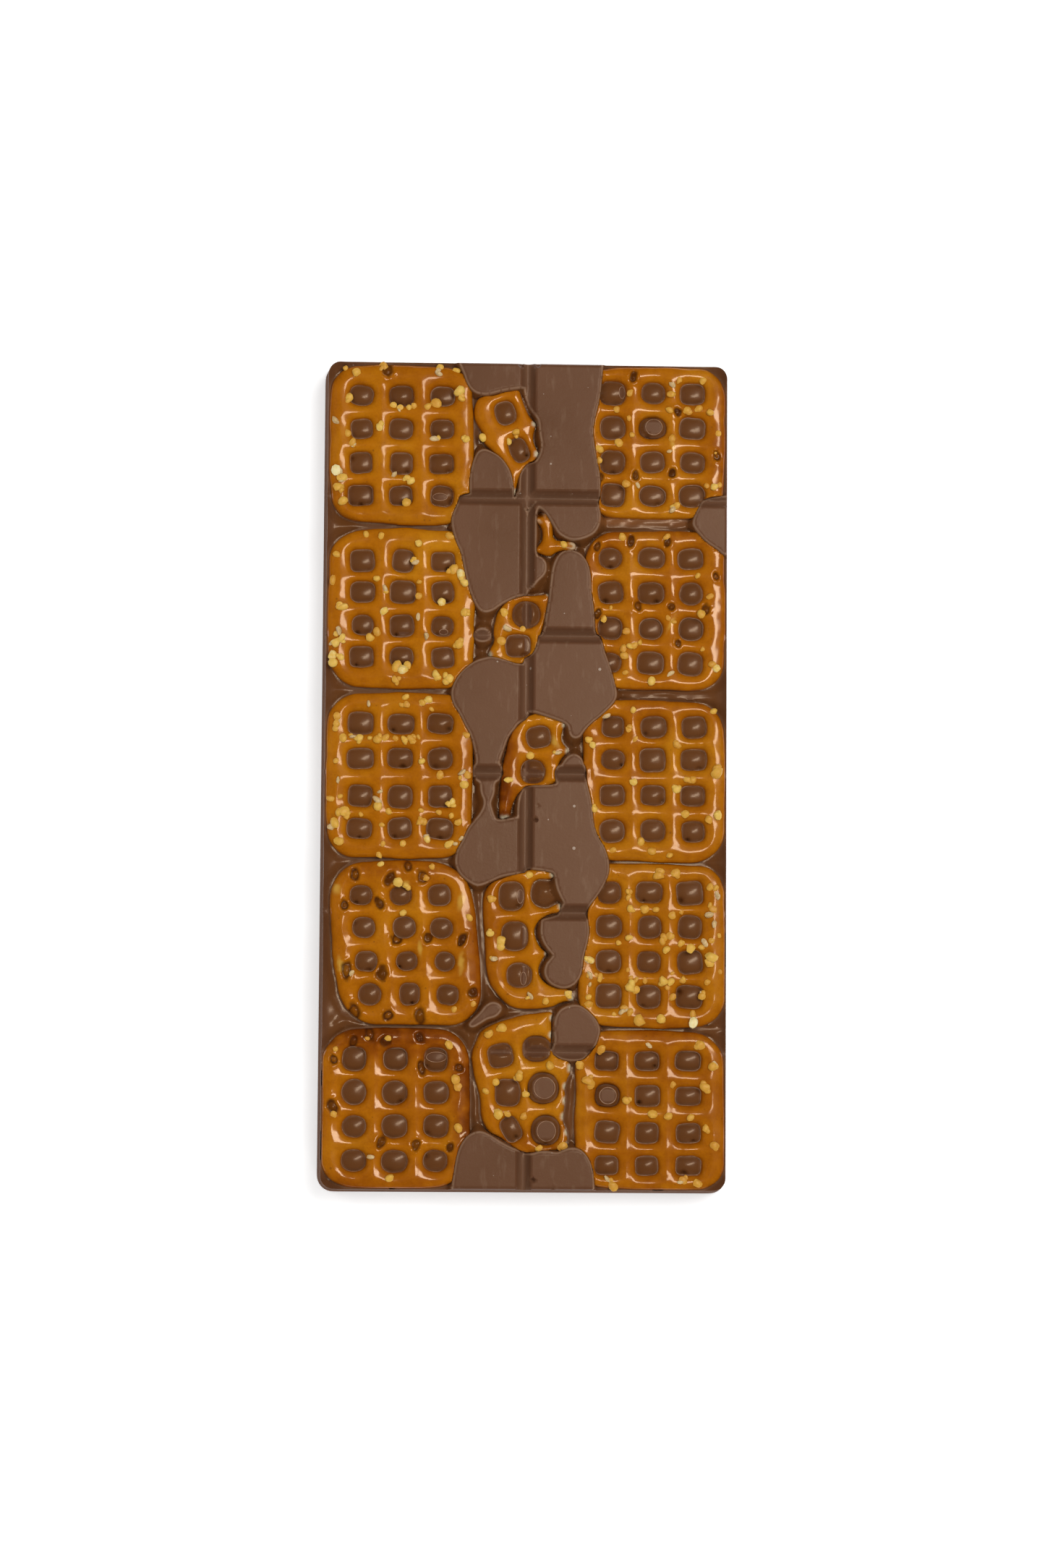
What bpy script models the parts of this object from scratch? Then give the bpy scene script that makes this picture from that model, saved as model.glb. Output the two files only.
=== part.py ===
"""Chocolate bark: a moulded milk chocolate tablet with waffle pretzels set in its face.

All sizes here are millimetres, and become metres when a mesh is made.
X runs across the tablet, Y along it and Z up, with the origin under its middle.
The tablet lies on its flat back. Ten whole waffle pretzels and six broken ones
lie just under the plane of the face. Between them the chocolate either reached
the mould, as flat areas cut by V grooves, or flowed a little below the face.
"""
import math
import random
from collections import namedtuple

import bmesh
import bpy
from mathutils import Vector

MM = 0.001
MERGE = 1e-6
GAP = 0.3

# The tablet
WIDTH = 78.8
LENGTH = 160.6
FACE = 9.5
DRAFT = 0.9
CORNER = 3.2
RIM = 0.5
FLOW_LEVEL = FACE - 2.2
CORNER_STEPS = 3

# The V grooves between the moulded segments
SEGMENT_ROWS = 6
SEGMENT_PITCH = 26.67
GROOVE_WIDTH = 3.0
GROOVE_FLOOR = 0.6
GROOVE_DEPTH = 1.8

# The pretzels
CREST = FACE - 0.8
PRETZEL_THICKNESS = 4.6
PRETZEL_FOOT = CREST - PRETZEL_THICKNESS
PRETZEL_CORNER = 7.0
SHOULDER = 1.0
ROPE_ROUND = 0.7
BROKEN_ROUND = 0.45
HOLE_SIZE = Vector((4.8, 4.5))
HOLE_CORNER = 0.9
HOLE_FLARE = Vector((0.6, 0.4))
BROKEN_FLARE = Vector((0.4, 0.4))
HOLE_NARROWING = 1.6
COLUMNS, ROWS = 3, 4

# The chocolate pegs in the pretzels' holes, with low points for domes
PEG_GAP = 0.33
PEG_RIM = FLOW_LEVEL - 0.1
PEG_TOP = FLOW_LEVEL + 0.35

# How far the cutting shapes pass the face, each a step past the one before
POCKET_TOP = FACE + 1
SPACE_TOP = FACE + 2
AREA_TOP = FACE + 3
AREA_FOOT = PRETZEL_FOOT - 1

# The salt
GRAIN_SIZE = 1.5
GRAIN_PROUD = 0.65

# Whole pretzels: sides at mid height, ends, first and last hole, lean, salt grains
Waffle = namedtuple("Waffle", "name left right bottom top columns rows lean grains")
WAFFLES = (
    Waffle("pretzel_left_1", -38.0, -10.8, 48.1, 78.7, (-32.5, -16.9), (53.9, 73.3), 0, 3),
    Waffle("pretzel_left_2", -37.9, -10.3, 16.2, 47.1, (-31.9, -16.4), (22.4, 41.2), 0, 3),
    Waffle("pretzel_left_3", -38.0, -10.2, -16.4, 15.2, (-31.9, -16.5), (-10.7, 9.5), 0, 3),
    Waffle("pretzel_left_4", -36.2, -9.8, -48.1, -16.9, (-30.5, -15.6), (-42.3, -23.4), -0.095, 1),
    Waffle("pretzel_left_5", -38.0, -10.4, -78.8, -49.1, (-32.2, -16.6), (-73.9, -54.5), 0, 2),
    Waffle("pretzel_right_1", 11.0, 37.3, 49.3, 78.8, (16.4, 31.9), (54.1, 73.9), 0, 1),
    Waffle("pretzel_right_2", 11.2, 37.9, 16.5, 47.4, (16.0, 31.6), (21.4, 41.8), 0, 1),
    Waffle("pretzel_right_3", 10.9, 37.9, -16.8, 14.3, (16.6, 32.2), (-11.0, 9.1), 0, 3),
    Waffle("pretzel_right_4", 10.4, 37.9, -48.6, -17.2, (16.1, 31.7), (-42.6, -22.7), 0, 3),
    Waffle("pretzel_right_5", 9.9, 37.9, -78.8, -49.05, (15.9, 31.5), (-74.4, -54.8), 0, 3),
)

# Broken pretzels: outline, and each hole's middle, size and turn in degrees
Hole = namedtuple("Hole", "x y width height turn")
Broken = namedtuple("Broken", "name outline holes")
BROKEN = (
    Broken("pretzel_piece_1",
           [(-10.2, 71.8), (-10.1, 69.6), (-9.1, 66.2), (-8.2, 63.6), (-5.5, 61.3), (-3.8, 59.4),
            (-3.0, 57.3), (-1.3, 57.6), (0.0, 60.2), (1.8, 62.0), (0.9, 65.0), (1.2, 67.8),
            (-0.7, 70.3), (-1.6, 74.2), (-5.2, 73.7), (-8.5, 72.9)],
           [Hole(-4.7, 69.8, 3.8, 4.2, 10), Hole(-1.9, 63.2, 3.2, 3.8, -20)]),
    Broken("pretzel_piece_2",
           [(3.5, 49.4), (2.4, 48.0), (3.0, 45.7), (1.9, 43.1), (4.8, 42.4), (8.4, 43.7),
            (8.6, 44.6), (5.2, 45.0), (4.5, 46.6)],
           []),
    Broken("pretzel_piece_3",
           [(-3.5, 33.8), (-5.8, 31.3), (-6.6, 27.8), (-6.3, 25.5), (-7.2, 22.8), (-4.4, 21.9),
            (-1.2, 21.2), (0.8, 22.2), (2.2, 24.6), (3.3, 28.1), (4.4, 32.3), (4.4, 34.9),
            (0.8, 34.8)],
           [Hole(-0.5, 30.8, 4.8, 4.6, 5), Hole(-1.9, 25.0, 4.4, 3.8, 10)]),
    Broken("pretzel_piece_4",
           [(1.3, 11.4), (-0.8, 10.2), (-2.8, 8.0), (-4.3, 3.2), (-5.1, -3.7), (-5.2, -9.0),
            (-2.7, -8.6), (-2.0, -5.0), (0.3, -2.6), (6.2, -2.2), (5.8, 0.3), (6.4, 2.1),
            (8.3, 4.4), (7.0, 7.1), (7.6, 9.5), (5.0, 10.6)],
           [Hole(2.4, 7.1, 4.6, 4.2, 10), Hole(1.4, 0.7, 4.2, 3.9, 0)]),
    Broken("pretzel_piece_5",
           [(-7.9, -22.6), (-8.1, -27.0), (-7.4, -36.5), (-6.2, -41.2), (-2.4, -45.0),
            (4.9, -44.9), (9.2, -43.5), (9.2, -41.9), (4.8, -40.7), (2.8, -38.2), (3.2, -36.0),
            (4.7, -34.5), (2.6, -33.0), (1.9, -30.2), (3.3, -27.9), (6.8, -26.8), (7.0, -24.6),
            (4.3, -25.7), (2.1, -25.2), (1.3, -22.8), (2.3, -20.6), (5.4, -20.1), (5.0, -19.0),
            (1.5, -18.5), (-2.6, -19.4), (-6.4, -20.8)],
           [Hole(-2.8, -23.6, 4.6, 5.2, 0), Hole(-2.1, -31.2, 4.8, 5.2, 0),
            Hole(-1.1, -38.7, 4.8, 4.6, 0)]),
    Broken("pretzel_piece_6",
           [(-9.7, -54.2), (-9.5, -58.5), (-8.5, -62.2), (-7.9, -66.2), (-6.2, -68.8),
            (-3.3, -70.6), (-0.1, -72.4), (4.4, -72.3), (8.2, -71.6), (8.6, -69.6), (8.0, -66.5),
            (8.0, -61.8), (8.8, -57.8), (8.9, -55.2), (5.8, -54.6), (5.4, -50.0), (5.5, -45.7),
            (0.0, -46.1), (-5.5, -48.0), (-8.3, -49.6)],
           [Hole(-4.5, -54.1, 4.7, 4.5, 10), Hole(2.0, -52.8, 4.6, 4.4, 0),
            Hole(-3.1, -61.1, 4.6, 4.8, 0), Hole(3.5, -60.2, 5.6, 5.6, 0),
            Hole(-2.2, -67.5, 3.6, 3.8, -30), Hole(4.1, -68.1, 5.2, 5.4, 0)]),
)

# Where the chocolate reached the mould's face. An area beside a groove ends just
# past the groove's middle, so that it meets the area on the other side.
FACE_AREAS = (
    [(-13.7, 84), (-13.4, 79.8), (-12.3, 76.8), (-10.7, 74.2), (-8.4, 73.5), (-5.0, 74.5),
     (0.4, 75.2), (0.4, 84)],
    [(-0.4, 84), (-0.4, 74.0), (0.6, 70.6), (2.1, 68.4), (2.6, 63.6), (1.9, 61.2), (-0.4, 59.0),
     (-0.4, 52.9), (14.0, 52.9), (13.7, 58.0), (12.4, 66.5), (13.5, 72.0), (14.4, 84)],
    [(-11.1, 52.9), (-11.2, 56.7), (-10.7, 60.2), (-9.2, 62.4), (-6.4, 61.8), (-4.2, 59.6),
     (-2.4, 52.9)],
    [(-13.4, 53.8), (-14.5, 49.9), (-14.1, 46.0), (-12.6, 42.6), (-11.3, 36.3), (-9.2, 31.5),
     (-6.5, 31.5), (-3.6, 34.1), (0.4, 35.0), (0.4, 53.8)],
    [(-0.4, 53.8), (-0.4, 35.6), (1.6, 36.4), (3.3, 38.3), (3.4, 41.0), (1.7, 42.2),
     (1.7, 50.9), (3.5, 50.6), (5.0, 48.4), (6.6, 46.1), (9.0, 45.2), (12.9, 46.7),
     (13.9, 48.7), (13.7, 53.8)],
    [(2.7, 26.2), (13.7, 26.2), (12.9, 29.5), (12.2, 38.5), (10.9, 41.9), (9.3, 43.1),
     (7.6, 43.1), (5.7, 41.6), (4.9, 38.5), (4.5, 33.0), (3.7, 29.3)],
    [(2.5, 27.1), (1.7, 23.3), (-0.4, 21.6), (-0.4, 12.0), (4.0, 11.2), (7.8, 9.9),
     (8.4, 8.0), (9.4, 6.9), (10.8, 7.9), (13.2, 10.5), (16.6, 13.6), (17.2, 16.5),
     (15.8, 21.0), (14.7, 24.5), (13.9, 27.1)],
    [(0.4, 20.8), (-3.4, 21.2), (-6.8, 22.3), (-10.0, 21.4), (-13.1, 18.6), (-14.4, 15.0),
     (-13.8, 13.0), (-11.6, 9.2), (-9.2, -0.6), (-5.4, -0.6), (-5.3, 3.0), (-3.8, 7.1),
     (0.4, 10.8)],
    [(-9.0, 0.5), (-8.6, -3.7), (-8.2, -7.4), (-10.6, -10.2), (-12.4, -13.8), (-13.3, -17.0),
     (-12.2, -19.7), (-9.4, -21.6), (-6.6, -20.9), (-3.4, -19.6), (0.4, -18.7), (0.4, -9.0),
     (-5.6, -9.5), (-6.4, -6.6), (-6.0, -3.7), (-6.1, 0.5)],
    [(6.4, -0.6), (11.3, -0.6), (11.2, 1.4), (10.6, 3.0), (9.1, 3.8), (7.7, 2.9), (6.7, 1.5)],
    [(-0.4, -3.0), (6.5, -2.1), (6.7, 0.5), (11.0, 0.5), (12.4, -5.0), (12.9, -10.0),
     (14.8, -13.7), (16.0, -17.9), (14.8, -21.6), (12.4, -25.0), (12.0, -27.2), (7.4, -27.2),
     (7.1, -23.7), (5.9, -19.8), (3.5, -18.3), (-0.4, -18.2)],
    [(7.3, -26.2), (7.1, -27.4), (3.6, -28.4), (3.1, -30.6), (5.3, -34.6), (3.9, -37.6),
     (5.0, -40.1), (7.7, -41.0), (10.0, -39.8), (11.5, -33.5), (12.2, -29.5), (11.9, -26.2)],
    [(9.2, -44.4), (7.2, -45.0), (6.0, -46.6), (5.8, -50.5), (5.9, -53.7), (8.4, -54.8),
     (11.1, -54.8), (13.4, -52.3), (14.3, -49.8), (13.6, -47.0), (11.5, -45.0)],
    [(-13.8, -84), (-13.6, -79.9), (-12.6, -73.1), (-10.8, -69.5), (-8.1, -68.6), (-4.9, -70.3),
     (0.4, -72.9), (0.4, -84)],
    [(-0.4, -84), (-0.4, -73.2), (4.4, -72.7), (10.1, -71.7), (12.3, -73.6), (13.2, -77.0),
     (13.4, -84)],
    [(42, 54.2), (34.6, 53.6), (33.3, 52.0), (31.8, 48.8), (33.6, 46.2), (37.0, 43.8),
     (42, 42.2)],
)

CHOCOLATE_BROWN = (0.135, 0.066, 0.037)
CRUST_GOLD = (0.47, 0.175, 0.012)


def outline(points):
    """Give an outline as vectors that run anticlockwise."""
    corners = [Vector(point) for point in points]
    area = sum(a.cross(b) for a, b in zip(corners, corners[1:] + corners[:1]))
    return corners if area > 0 else corners[::-1]


def grow(points, distance):
    """Move every side of an anticlockwise outline outwards by a distance."""
    moved = []
    for before, here, after in zip(points[-1:] + points[:-1], points, points[1:] + points[:1]):
        first = (here - before).normalized()
        second = (after - here).normalized()
        out_first = Vector((first.y, -first.x))
        out_second = Vector((second.y, -second.x))
        opening = max(0.5, 1 + out_first.dot(out_second))
        moved.append(here + (out_first + out_second) * (distance / opening))
    return moved


def rounded_rectangle(middle, size, corner, steps, turn=0.0):
    """Give a rectangle with round corners; a corner of zero keeps its doubled points."""
    half = size / 2
    points = []
    for quarter, (side_x, side_y) in enumerate(((1, 1), (-1, 1), (-1, -1), (1, -1))):
        centre = Vector((side_x * (half.x - corner), side_y * (half.y - corner)))
        for step in range(steps + 1):
            angle = math.pi / 2 * (quarter + step / steps)
            points.append(centre + corner * Vector((math.cos(angle), math.sin(angle))))
    radians = math.radians(turn)
    across = Vector((math.cos(radians), math.sin(radians)))
    along = Vector((-across.y, across.x))
    return [middle + across * point.x + along * point.y for point in points]


def closed_solid(name, piles):
    """Join each pile of (outline, height) rings with walls, and cap every open level."""
    mesh = bmesh.new()
    for pile in piles:
        loops = [[mesh.verts.new((p.x * MM, p.y * MM, height * MM)) for p in ring]
                 for ring, height in pile]
        for lower, upper in zip(loops, loops[1:]):
            for i, corner in enumerate(lower):
                mesh.faces.new((lower[i - 1], corner, upper[i], upper[i - 1]))
    bmesh.ops.remove_doubles(mesh, verts=mesh.verts, dist=MERGE)
    heights = sorted({height for pile in piles for _, height in pile})
    for height in heights:
        rim = [edge for edge in mesh.edges if edge.is_boundary
               and all(abs(vert.co.z - height * MM) < MERGE for vert in edge.verts)]
        if rim:
            bmesh.ops.triangle_fill(mesh, use_beauty=True, edges=rim)
    bmesh.ops.recalc_face_normals(mesh, faces=mesh.faces)
    return new_object(name, mesh)


def new_object(name, mesh):
    """Turn a bmesh into an object in the scene's own collection."""
    data = bpy.data.meshes.new(name)
    mesh.to_mesh(data)
    mesh.free()
    item = bpy.data.objects.new(name, data)
    bpy.context.scene.collection.objects.link(item)
    return item


def combine(target, operation, tools):
    """Apply one Boolean of the target with all tools, and remove the tools."""
    group = bpy.data.collections.new("tools")
    bpy.context.scene.collection.children.link(group)
    for tool in tools:
        group.objects.link(tool)
    boolean = target.modifiers.new(operation.title(), "BOOLEAN")
    boolean.operation = operation
    boolean.operand_type = "COLLECTION"
    boolean.collection = group
    boolean.solver = "EXACT"
    graph = bpy.context.evaluated_depsgraph_get()
    result = bpy.data.meshes.new_from_object(target.evaluated_get(graph))
    target.modifiers.clear()
    target.data = result
    for tool in tools:
        bpy.data.objects.remove(tool)
    bpy.data.collections.remove(group)
    return target


def waffle_outline(waffle):
    """Give a whole pretzel's outline, a leaning rectangle with wide round corners."""
    middle = Vector((waffle.left + waffle.right, waffle.bottom + waffle.top)) / 2
    size = Vector((waffle.right - waffle.left, waffle.top - waffle.bottom))
    points = rounded_rectangle(middle, size, PRETZEL_CORNER, CORNER_STEPS)
    return [leant(waffle, point) for point in points]


def leant(waffle, point):
    """Shift a point sideways by the pretzel's lean."""
    middle = (waffle.bottom + waffle.top) / 2
    return Vector((point.x + waffle.lean * (point.y - middle), point.y))


def spread(ends, count):
    """Give evenly spaced places from the first end to the last."""
    return [ends[0] + (ends[1] - ends[0]) * i / (count - 1) for i in range(count)]


def waffle_holes(waffle):
    """Give a whole pretzel's grid of holes."""
    holes = []
    for y in spread(waffle.rows, ROWS):
        for x in spread(waffle.columns, COLUMNS):
            place = leant(waffle, Vector((x, y)))
            holes.append(Hole(place.x, place.y, HOLE_SIZE.x, HOLE_SIZE.y, 0))
    return holes


def hole_ring(hole, growth, corner=HOLE_CORNER):
    """Give a hole's outline, grown by a size; a corner of zero makes it square."""
    size = Vector((hole.width, hole.height)) + growth
    return rounded_rectangle(Vector((hole.x, hole.y)), size, corner, 1, hole.turn)


def shrunk(amount):
    """Give the growth that takes an amount off both sizes of a hole."""
    return Vector((-amount, -amount))


def pretzel(name, edge, holes, rounding, flare):
    """Make a pretzel: a plate of rope thickness with narrowing holes and eased crests."""
    shoulder = CREST - SHOULDER
    piles = [[(edge, PRETZEL_FOOT), (edge, shoulder), (grow(edge, -rounding), CREST)]]
    for hole in holes:
        piles.append([(hole_ring(hole, shrunk(HOLE_NARROWING), 0), PRETZEL_FOOT),
                      (hole_ring(hole, shrunk(0)), shoulder),
                      (hole_ring(hole, 2 * flare, HOLE_CORNER + flare.x), CREST)])
    return closed_solid(name, piles)


def pocket(edge, holes):
    """Make the space that a pretzel takes up, with the chocolate's pegs left in its holes."""
    floor = PRETZEL_FOOT - GAP
    edge = grow(edge, GAP)
    piles = [[(edge, floor), (edge, POCKET_TOP)]]
    for hole in holes:
        point = rounded_rectangle(Vector((hole.x, hole.y)), Vector((0, 0)), 0, 1)
        piles.append([(hole_ring(hole, shrunk(HOLE_NARROWING + 2 * PEG_GAP), 0), floor),
                      (hole_ring(hole, shrunk(2 * PEG_GAP)), PEG_RIM),
                      (point, PEG_TOP)])
    return closed_solid("pocket", piles)


def prism(name, points, low, high):
    """Make an upright prism of an outline."""
    return closed_solid(name, [[(points, low), (points, high)]])


def groove(middle, direction):
    """Make the V shaped bar that cuts one groove, running well past the tablet."""
    across = Vector((-direction.y, direction.x))
    reach = direction * LENGTH
    low, high = FACE - GROOVE_DEPTH, POCKET_TOP
    slope = (GROOVE_WIDTH - GROOVE_FLOOR) / 2 / GROOVE_DEPTH
    rings = []
    for height in (low, high):
        half = across * (GROOVE_FLOOR / 2 + slope * (height - low))
        ring = [middle + reach + half, middle - reach + half,
                middle - reach - half, middle + reach - half]
        rings.append((ring, height))
    return closed_solid("groove", [rings])


def grooves():
    """Make the long middle groove and the cross grooves between the rows."""
    bars = [groove(Vector((0, 0)), Vector((0, 1)))]
    for row in range(1, SEGMENT_ROWS):
        y = SEGMENT_PITCH * (row - SEGMENT_ROWS / 2)
        bars.append(groove(Vector((0, y)), Vector((1, 0))))
    return bars


def face_areas(growth):
    """Make an upright prism for every area where the chocolate reached the mould."""
    return [prism("face_area", grow(outline(area), growth), AREA_FOOT, AREA_TOP)
            for area in FACE_AREAS]


def flow_space(shapes):
    """Make all that is missing from a full tablet: pockets, low chocolate and grooves."""
    reach = Vector((WIDTH, LENGTH)) * 1.1
    block = rounded_rectangle(Vector((0, 0)), reach, 0, 1)
    space = prism("flow_space", block, FLOW_LEVEL, SPACE_TOP)
    combine(space, "DIFFERENCE",
            [prism("core", edge, AREA_FOOT, AREA_TOP) for edge, _ in shapes])
    combine(space, "UNION", [pocket(edge, holes) for edge, holes in shapes])
    areas = face_areas(0)
    face = combine(areas[0], "UNION", areas[1:])
    combine(face, "DIFFERENCE", grooves())
    return combine(space, "DIFFERENCE", [face])


def tablet(shapes):
    """Make the chocolate: a tapered tablet with an eased rim, less the flow space."""
    rings = []
    for height, inset in ((0, 0), (FACE - RIM, DRAFT * (1 - RIM / FACE)), (FACE, DRAFT + RIM)):
        size = Vector((WIDTH, LENGTH)) - Vector((2, 2)) * inset
        rings.append((rounded_rectangle(Vector((0, 0)), size, CORNER, CORNER_STEPS), height))
    body = closed_solid("chocolate", [rings])
    return combine(body, "DIFFERENCE", [flow_space(shapes)])


def salt_grain(place, size, turn):
    """Make one salt crystal, a cube that is partly sunk in the crust."""
    mesh = bmesh.new()
    bmesh.ops.create_cube(mesh, size=size * MM)
    grain = new_object("salt_grain", mesh)
    grain.location = Vector((place.x, place.y, CREST + GRAIN_PROUD - size / 2)) * MM
    grain.rotation_euler = (0, 0, turn)
    return grain


def add_salt(item, waffle, seed):
    """Fuse salt crystals to a whole pretzel, where its ropes cross."""
    chance = random.Random(seed)
    xs = spread(waffle.columns, COLUMNS)
    ys = spread(waffle.rows, ROWS)
    crossings = [Vector(((xs[i] + xs[i + 1]) / 2, (ys[j] + ys[j + 1]) / 2))
                 for i in range(COLUMNS - 1) for j in range(ROWS - 1)]
    grains = []
    for place in chance.sample(crossings, waffle.grains):
        size = GRAIN_SIZE * chance.uniform(0.85, 1.1)
        grains.append(salt_grain(leant(waffle, place), size, chance.uniform(0, math.pi / 2)))
    return combine(item, "UNION", grains)


def principled(name, colour, roughness):
    """Make a plain material of one colour."""
    material = bpy.data.materials.new(name)
    material.use_nodes = True
    shader = material.node_tree.nodes["Principled BSDF"]
    shader.inputs["Base Color"].default_value = (*colour, 1)
    shader.inputs["Roughness"].default_value = roughness
    shader.inputs["Metallic"].default_value = 0
    return material


def finish(item, collection, colour, roughness):
    """Put a part in the object's collection and give it its own material."""
    item.data.materials.clear()
    item.data.materials.append(principled(item.name, colour, roughness))
    collection.objects.link(item)
    bpy.context.scene.collection.objects.unlink(item)


def main():
    for item in list(bpy.data.objects):
        bpy.data.objects.remove(item)
    bark = bpy.data.collections.new("chocolate_bark")
    bpy.context.scene.collection.children.link(bark)

    shapes = [(waffle_outline(waffle), waffle_holes(waffle)) for waffle in WAFFLES]
    shapes += [(outline(broken.outline), broken.holes) for broken in BROKEN]
    finish(tablet(shapes), bark, CHOCOLATE_BROWN, 0.35)

    chance = random.Random(3)
    for seed, (waffle, (edge, holes)) in enumerate(zip(WAFFLES, shapes)):
        item = pretzel(waffle.name, edge, holes, ROPE_ROUND, HOLE_FLARE)
        add_salt(item, waffle, seed)
        combine(item, "DIFFERENCE", face_areas(GAP))
        tone = chance.uniform(0.9, 1.1)
        finish(item, bark, [tone * value for value in CRUST_GOLD], 0.3)
    for broken, (edge, holes) in zip(BROKEN, shapes[len(WAFFLES):]):
        item = pretzel(broken.name, edge, holes, BROKEN_ROUND, BROKEN_FLARE)
        combine(item, "DIFFERENCE", face_areas(GAP))
        finish(item, bark, CRUST_GOLD, 0.3)


main()
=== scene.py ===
"""Looks for the chocolate bark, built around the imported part.

Shapes are worked out in millimetres, and become metres when a mesh is made. X runs
across the tablet, Y along it and Z up. The tablet's face is worked out as one height
for every place: the flat areas and grooves that the mould left, the flowed chocolate
between the pretzels, and the domes that rose through their holes. Each pretzel is a
closed skin around soft ropes, and the salt is a piece of its own.
"""
import functools
import itertools
import math
import random
from collections import namedtuple

import bmesh
import bpy
import numpy as np
from mathutils import Matrix, Vector


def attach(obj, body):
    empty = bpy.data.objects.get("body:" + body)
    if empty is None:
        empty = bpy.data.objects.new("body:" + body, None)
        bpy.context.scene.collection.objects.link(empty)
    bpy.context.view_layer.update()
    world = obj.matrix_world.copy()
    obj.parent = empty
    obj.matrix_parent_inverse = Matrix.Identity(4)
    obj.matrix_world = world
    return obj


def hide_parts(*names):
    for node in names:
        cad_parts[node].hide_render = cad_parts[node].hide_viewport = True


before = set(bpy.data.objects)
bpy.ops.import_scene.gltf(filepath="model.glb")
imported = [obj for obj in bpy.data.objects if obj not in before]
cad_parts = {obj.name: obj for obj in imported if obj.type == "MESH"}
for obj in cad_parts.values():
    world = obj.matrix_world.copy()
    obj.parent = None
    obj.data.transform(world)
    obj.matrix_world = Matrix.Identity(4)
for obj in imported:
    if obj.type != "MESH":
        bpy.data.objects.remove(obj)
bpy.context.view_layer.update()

MM = 0.001

# A distance that stands for far away, and how far round an outline distances are worked out
FAR = 50.0
RING_REACH = 4.0

# The tablet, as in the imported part
WIDTH, LENGTH = 78.8, 160.6
FACE = 9.5
DRAFT = 0.9
CORNER = 3.2
RIM = 0.45
ROW_PITCH = 26.67
ROWS_OF_SEGMENTS = 6
GROOVE_DEPTH = 1.8
GROOVE_HALF = 1.5
GROOVE_FLOOR_HALF = 0.3
GROOVE_ROWS = [ROW_PITCH * (row - ROWS_OF_SEGMENTS / 2) for row in range(1, ROWS_OF_SEGMENTS)]

# Half sizes of the face, which the tapered walls leave smaller than the back
HALF_X, HALF_Y = WIDTH / 2 - DRAFT, LENGTH / 2 - DRAFT

# The walls: heights of their corner rows as shares of the whole, how satin they are (which gives
# them part of the satin areas' painted sheen), and how far the back's edge is drawn in
WALL_LEVELS = (0.93, 0.7, 0.4, 0.12, 0.0)
WALL_SATIN = 0.4
BACK_TUCK = 0.06

# How the tablet's face is divided
CELL = 0.32
EDGE_LINES = (-0.3, 0.0, 0.3)

# Angles in degrees from which an edge is shaded as sharp
TABLET_SHARP, LIP_SHARP, PRETZEL_SHARP, GRAIN_SHARP = 60, 80, 75, 40

# The floor: half its side in metres, and how far it lies under the tablet
FLOOR_SIZE = 4.0
FLOOR_DROP = 0.02

# Lights: name, place, width and height in metres, and power in watts. The glint box has a
# colour too, and of the four only it is mirrored in the glaze.
SOFT_LIGHTS = (("key", (0.45, 0.34, 0.98), (0.7, 0.7), 7.4),
               ("left_fill", (-0.7, 0.2, 0.9), (0.5, 0.6), 2.3),
               ("front_fill", (0.15, -1.5, 1.2), (1.2, 0.75), 10.8))
GLINT_BOX = ("glint_box", (0.31, 0.15, 1.13), (0.17, 0.56), 3.6, (1.0, 0.8, 0.58))

# The room's brightness as a light, as a reflection, and what is added where it is seen
ROOM_LIGHT, ROOM_GLOSS, ROOM_SEEN = 0.27, 0.015, 0.6

# The camera: what it looks at, its distance in metres, how far it leans to the left and
# down and rolls, in degrees, and its focal length
AIM = (-0.68, -2.13, FACE)
DISTANCE = 0.7
LEAN_LEFT, LEAN_DOWN, ROLL = 2.371, 4.533, 0.38
FOCAL_LENGTH = 83.9

# The pretzels
CREST = 8.7
FOOT = 4.1
ROPE_DROP = 1.15
ROPE_HALF = 1.5
CROSSING_RISE = 0.16
ISLAND_LIFT = 0.55
SKIN_CELL = 0.285
DEEP_CELL = 0.85
FINE_FROM, COARSE_TO = 6.85, 6.7

# How far a pretzel's skin keeps from the flat areas and from the walls, and the corner
# radius that it keeps to
AREA_GAP = 0.13
WALL_SKIN = 0.22
SKIN_CORNER = 3.0

# The flowed chocolate
CONTACT = 7.0
DOME = 7.9
DOME_FOOT = 7.28
POCKET_INSET = 0.55
POCKET_FROM_AREA = 0.62
SHOULDER_SLOPE = 1.3
NOTCH_SHARE = 0.42

# The thin lip of chocolate round every hole, as half its width and its height
LIP_HALF = 0.1
LIP_TOP = 7.5
LIP_STEPS = 44

# Directions all round a hole, which its lip runs through
TURNS = np.linspace(0, math.tau, LIP_STEPS, endpoint=False)
ALL_ROUND = np.stack((np.cos(TURNS), np.sin(TURNS)), axis=1)

# Hole: place of its middle, size, corner radius, turn in degrees, how high its dome rose
Hole = namedtuple("Hole", "x y width height corner turn dome")
# Pretzel: names of its piece and node, smooth outline, holes, crest height, browning at
# top, left, bottom, right and all over, and seed
Pretzel = namedtuple("Pretzel", "name node ring holes crest baked seed")

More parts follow.
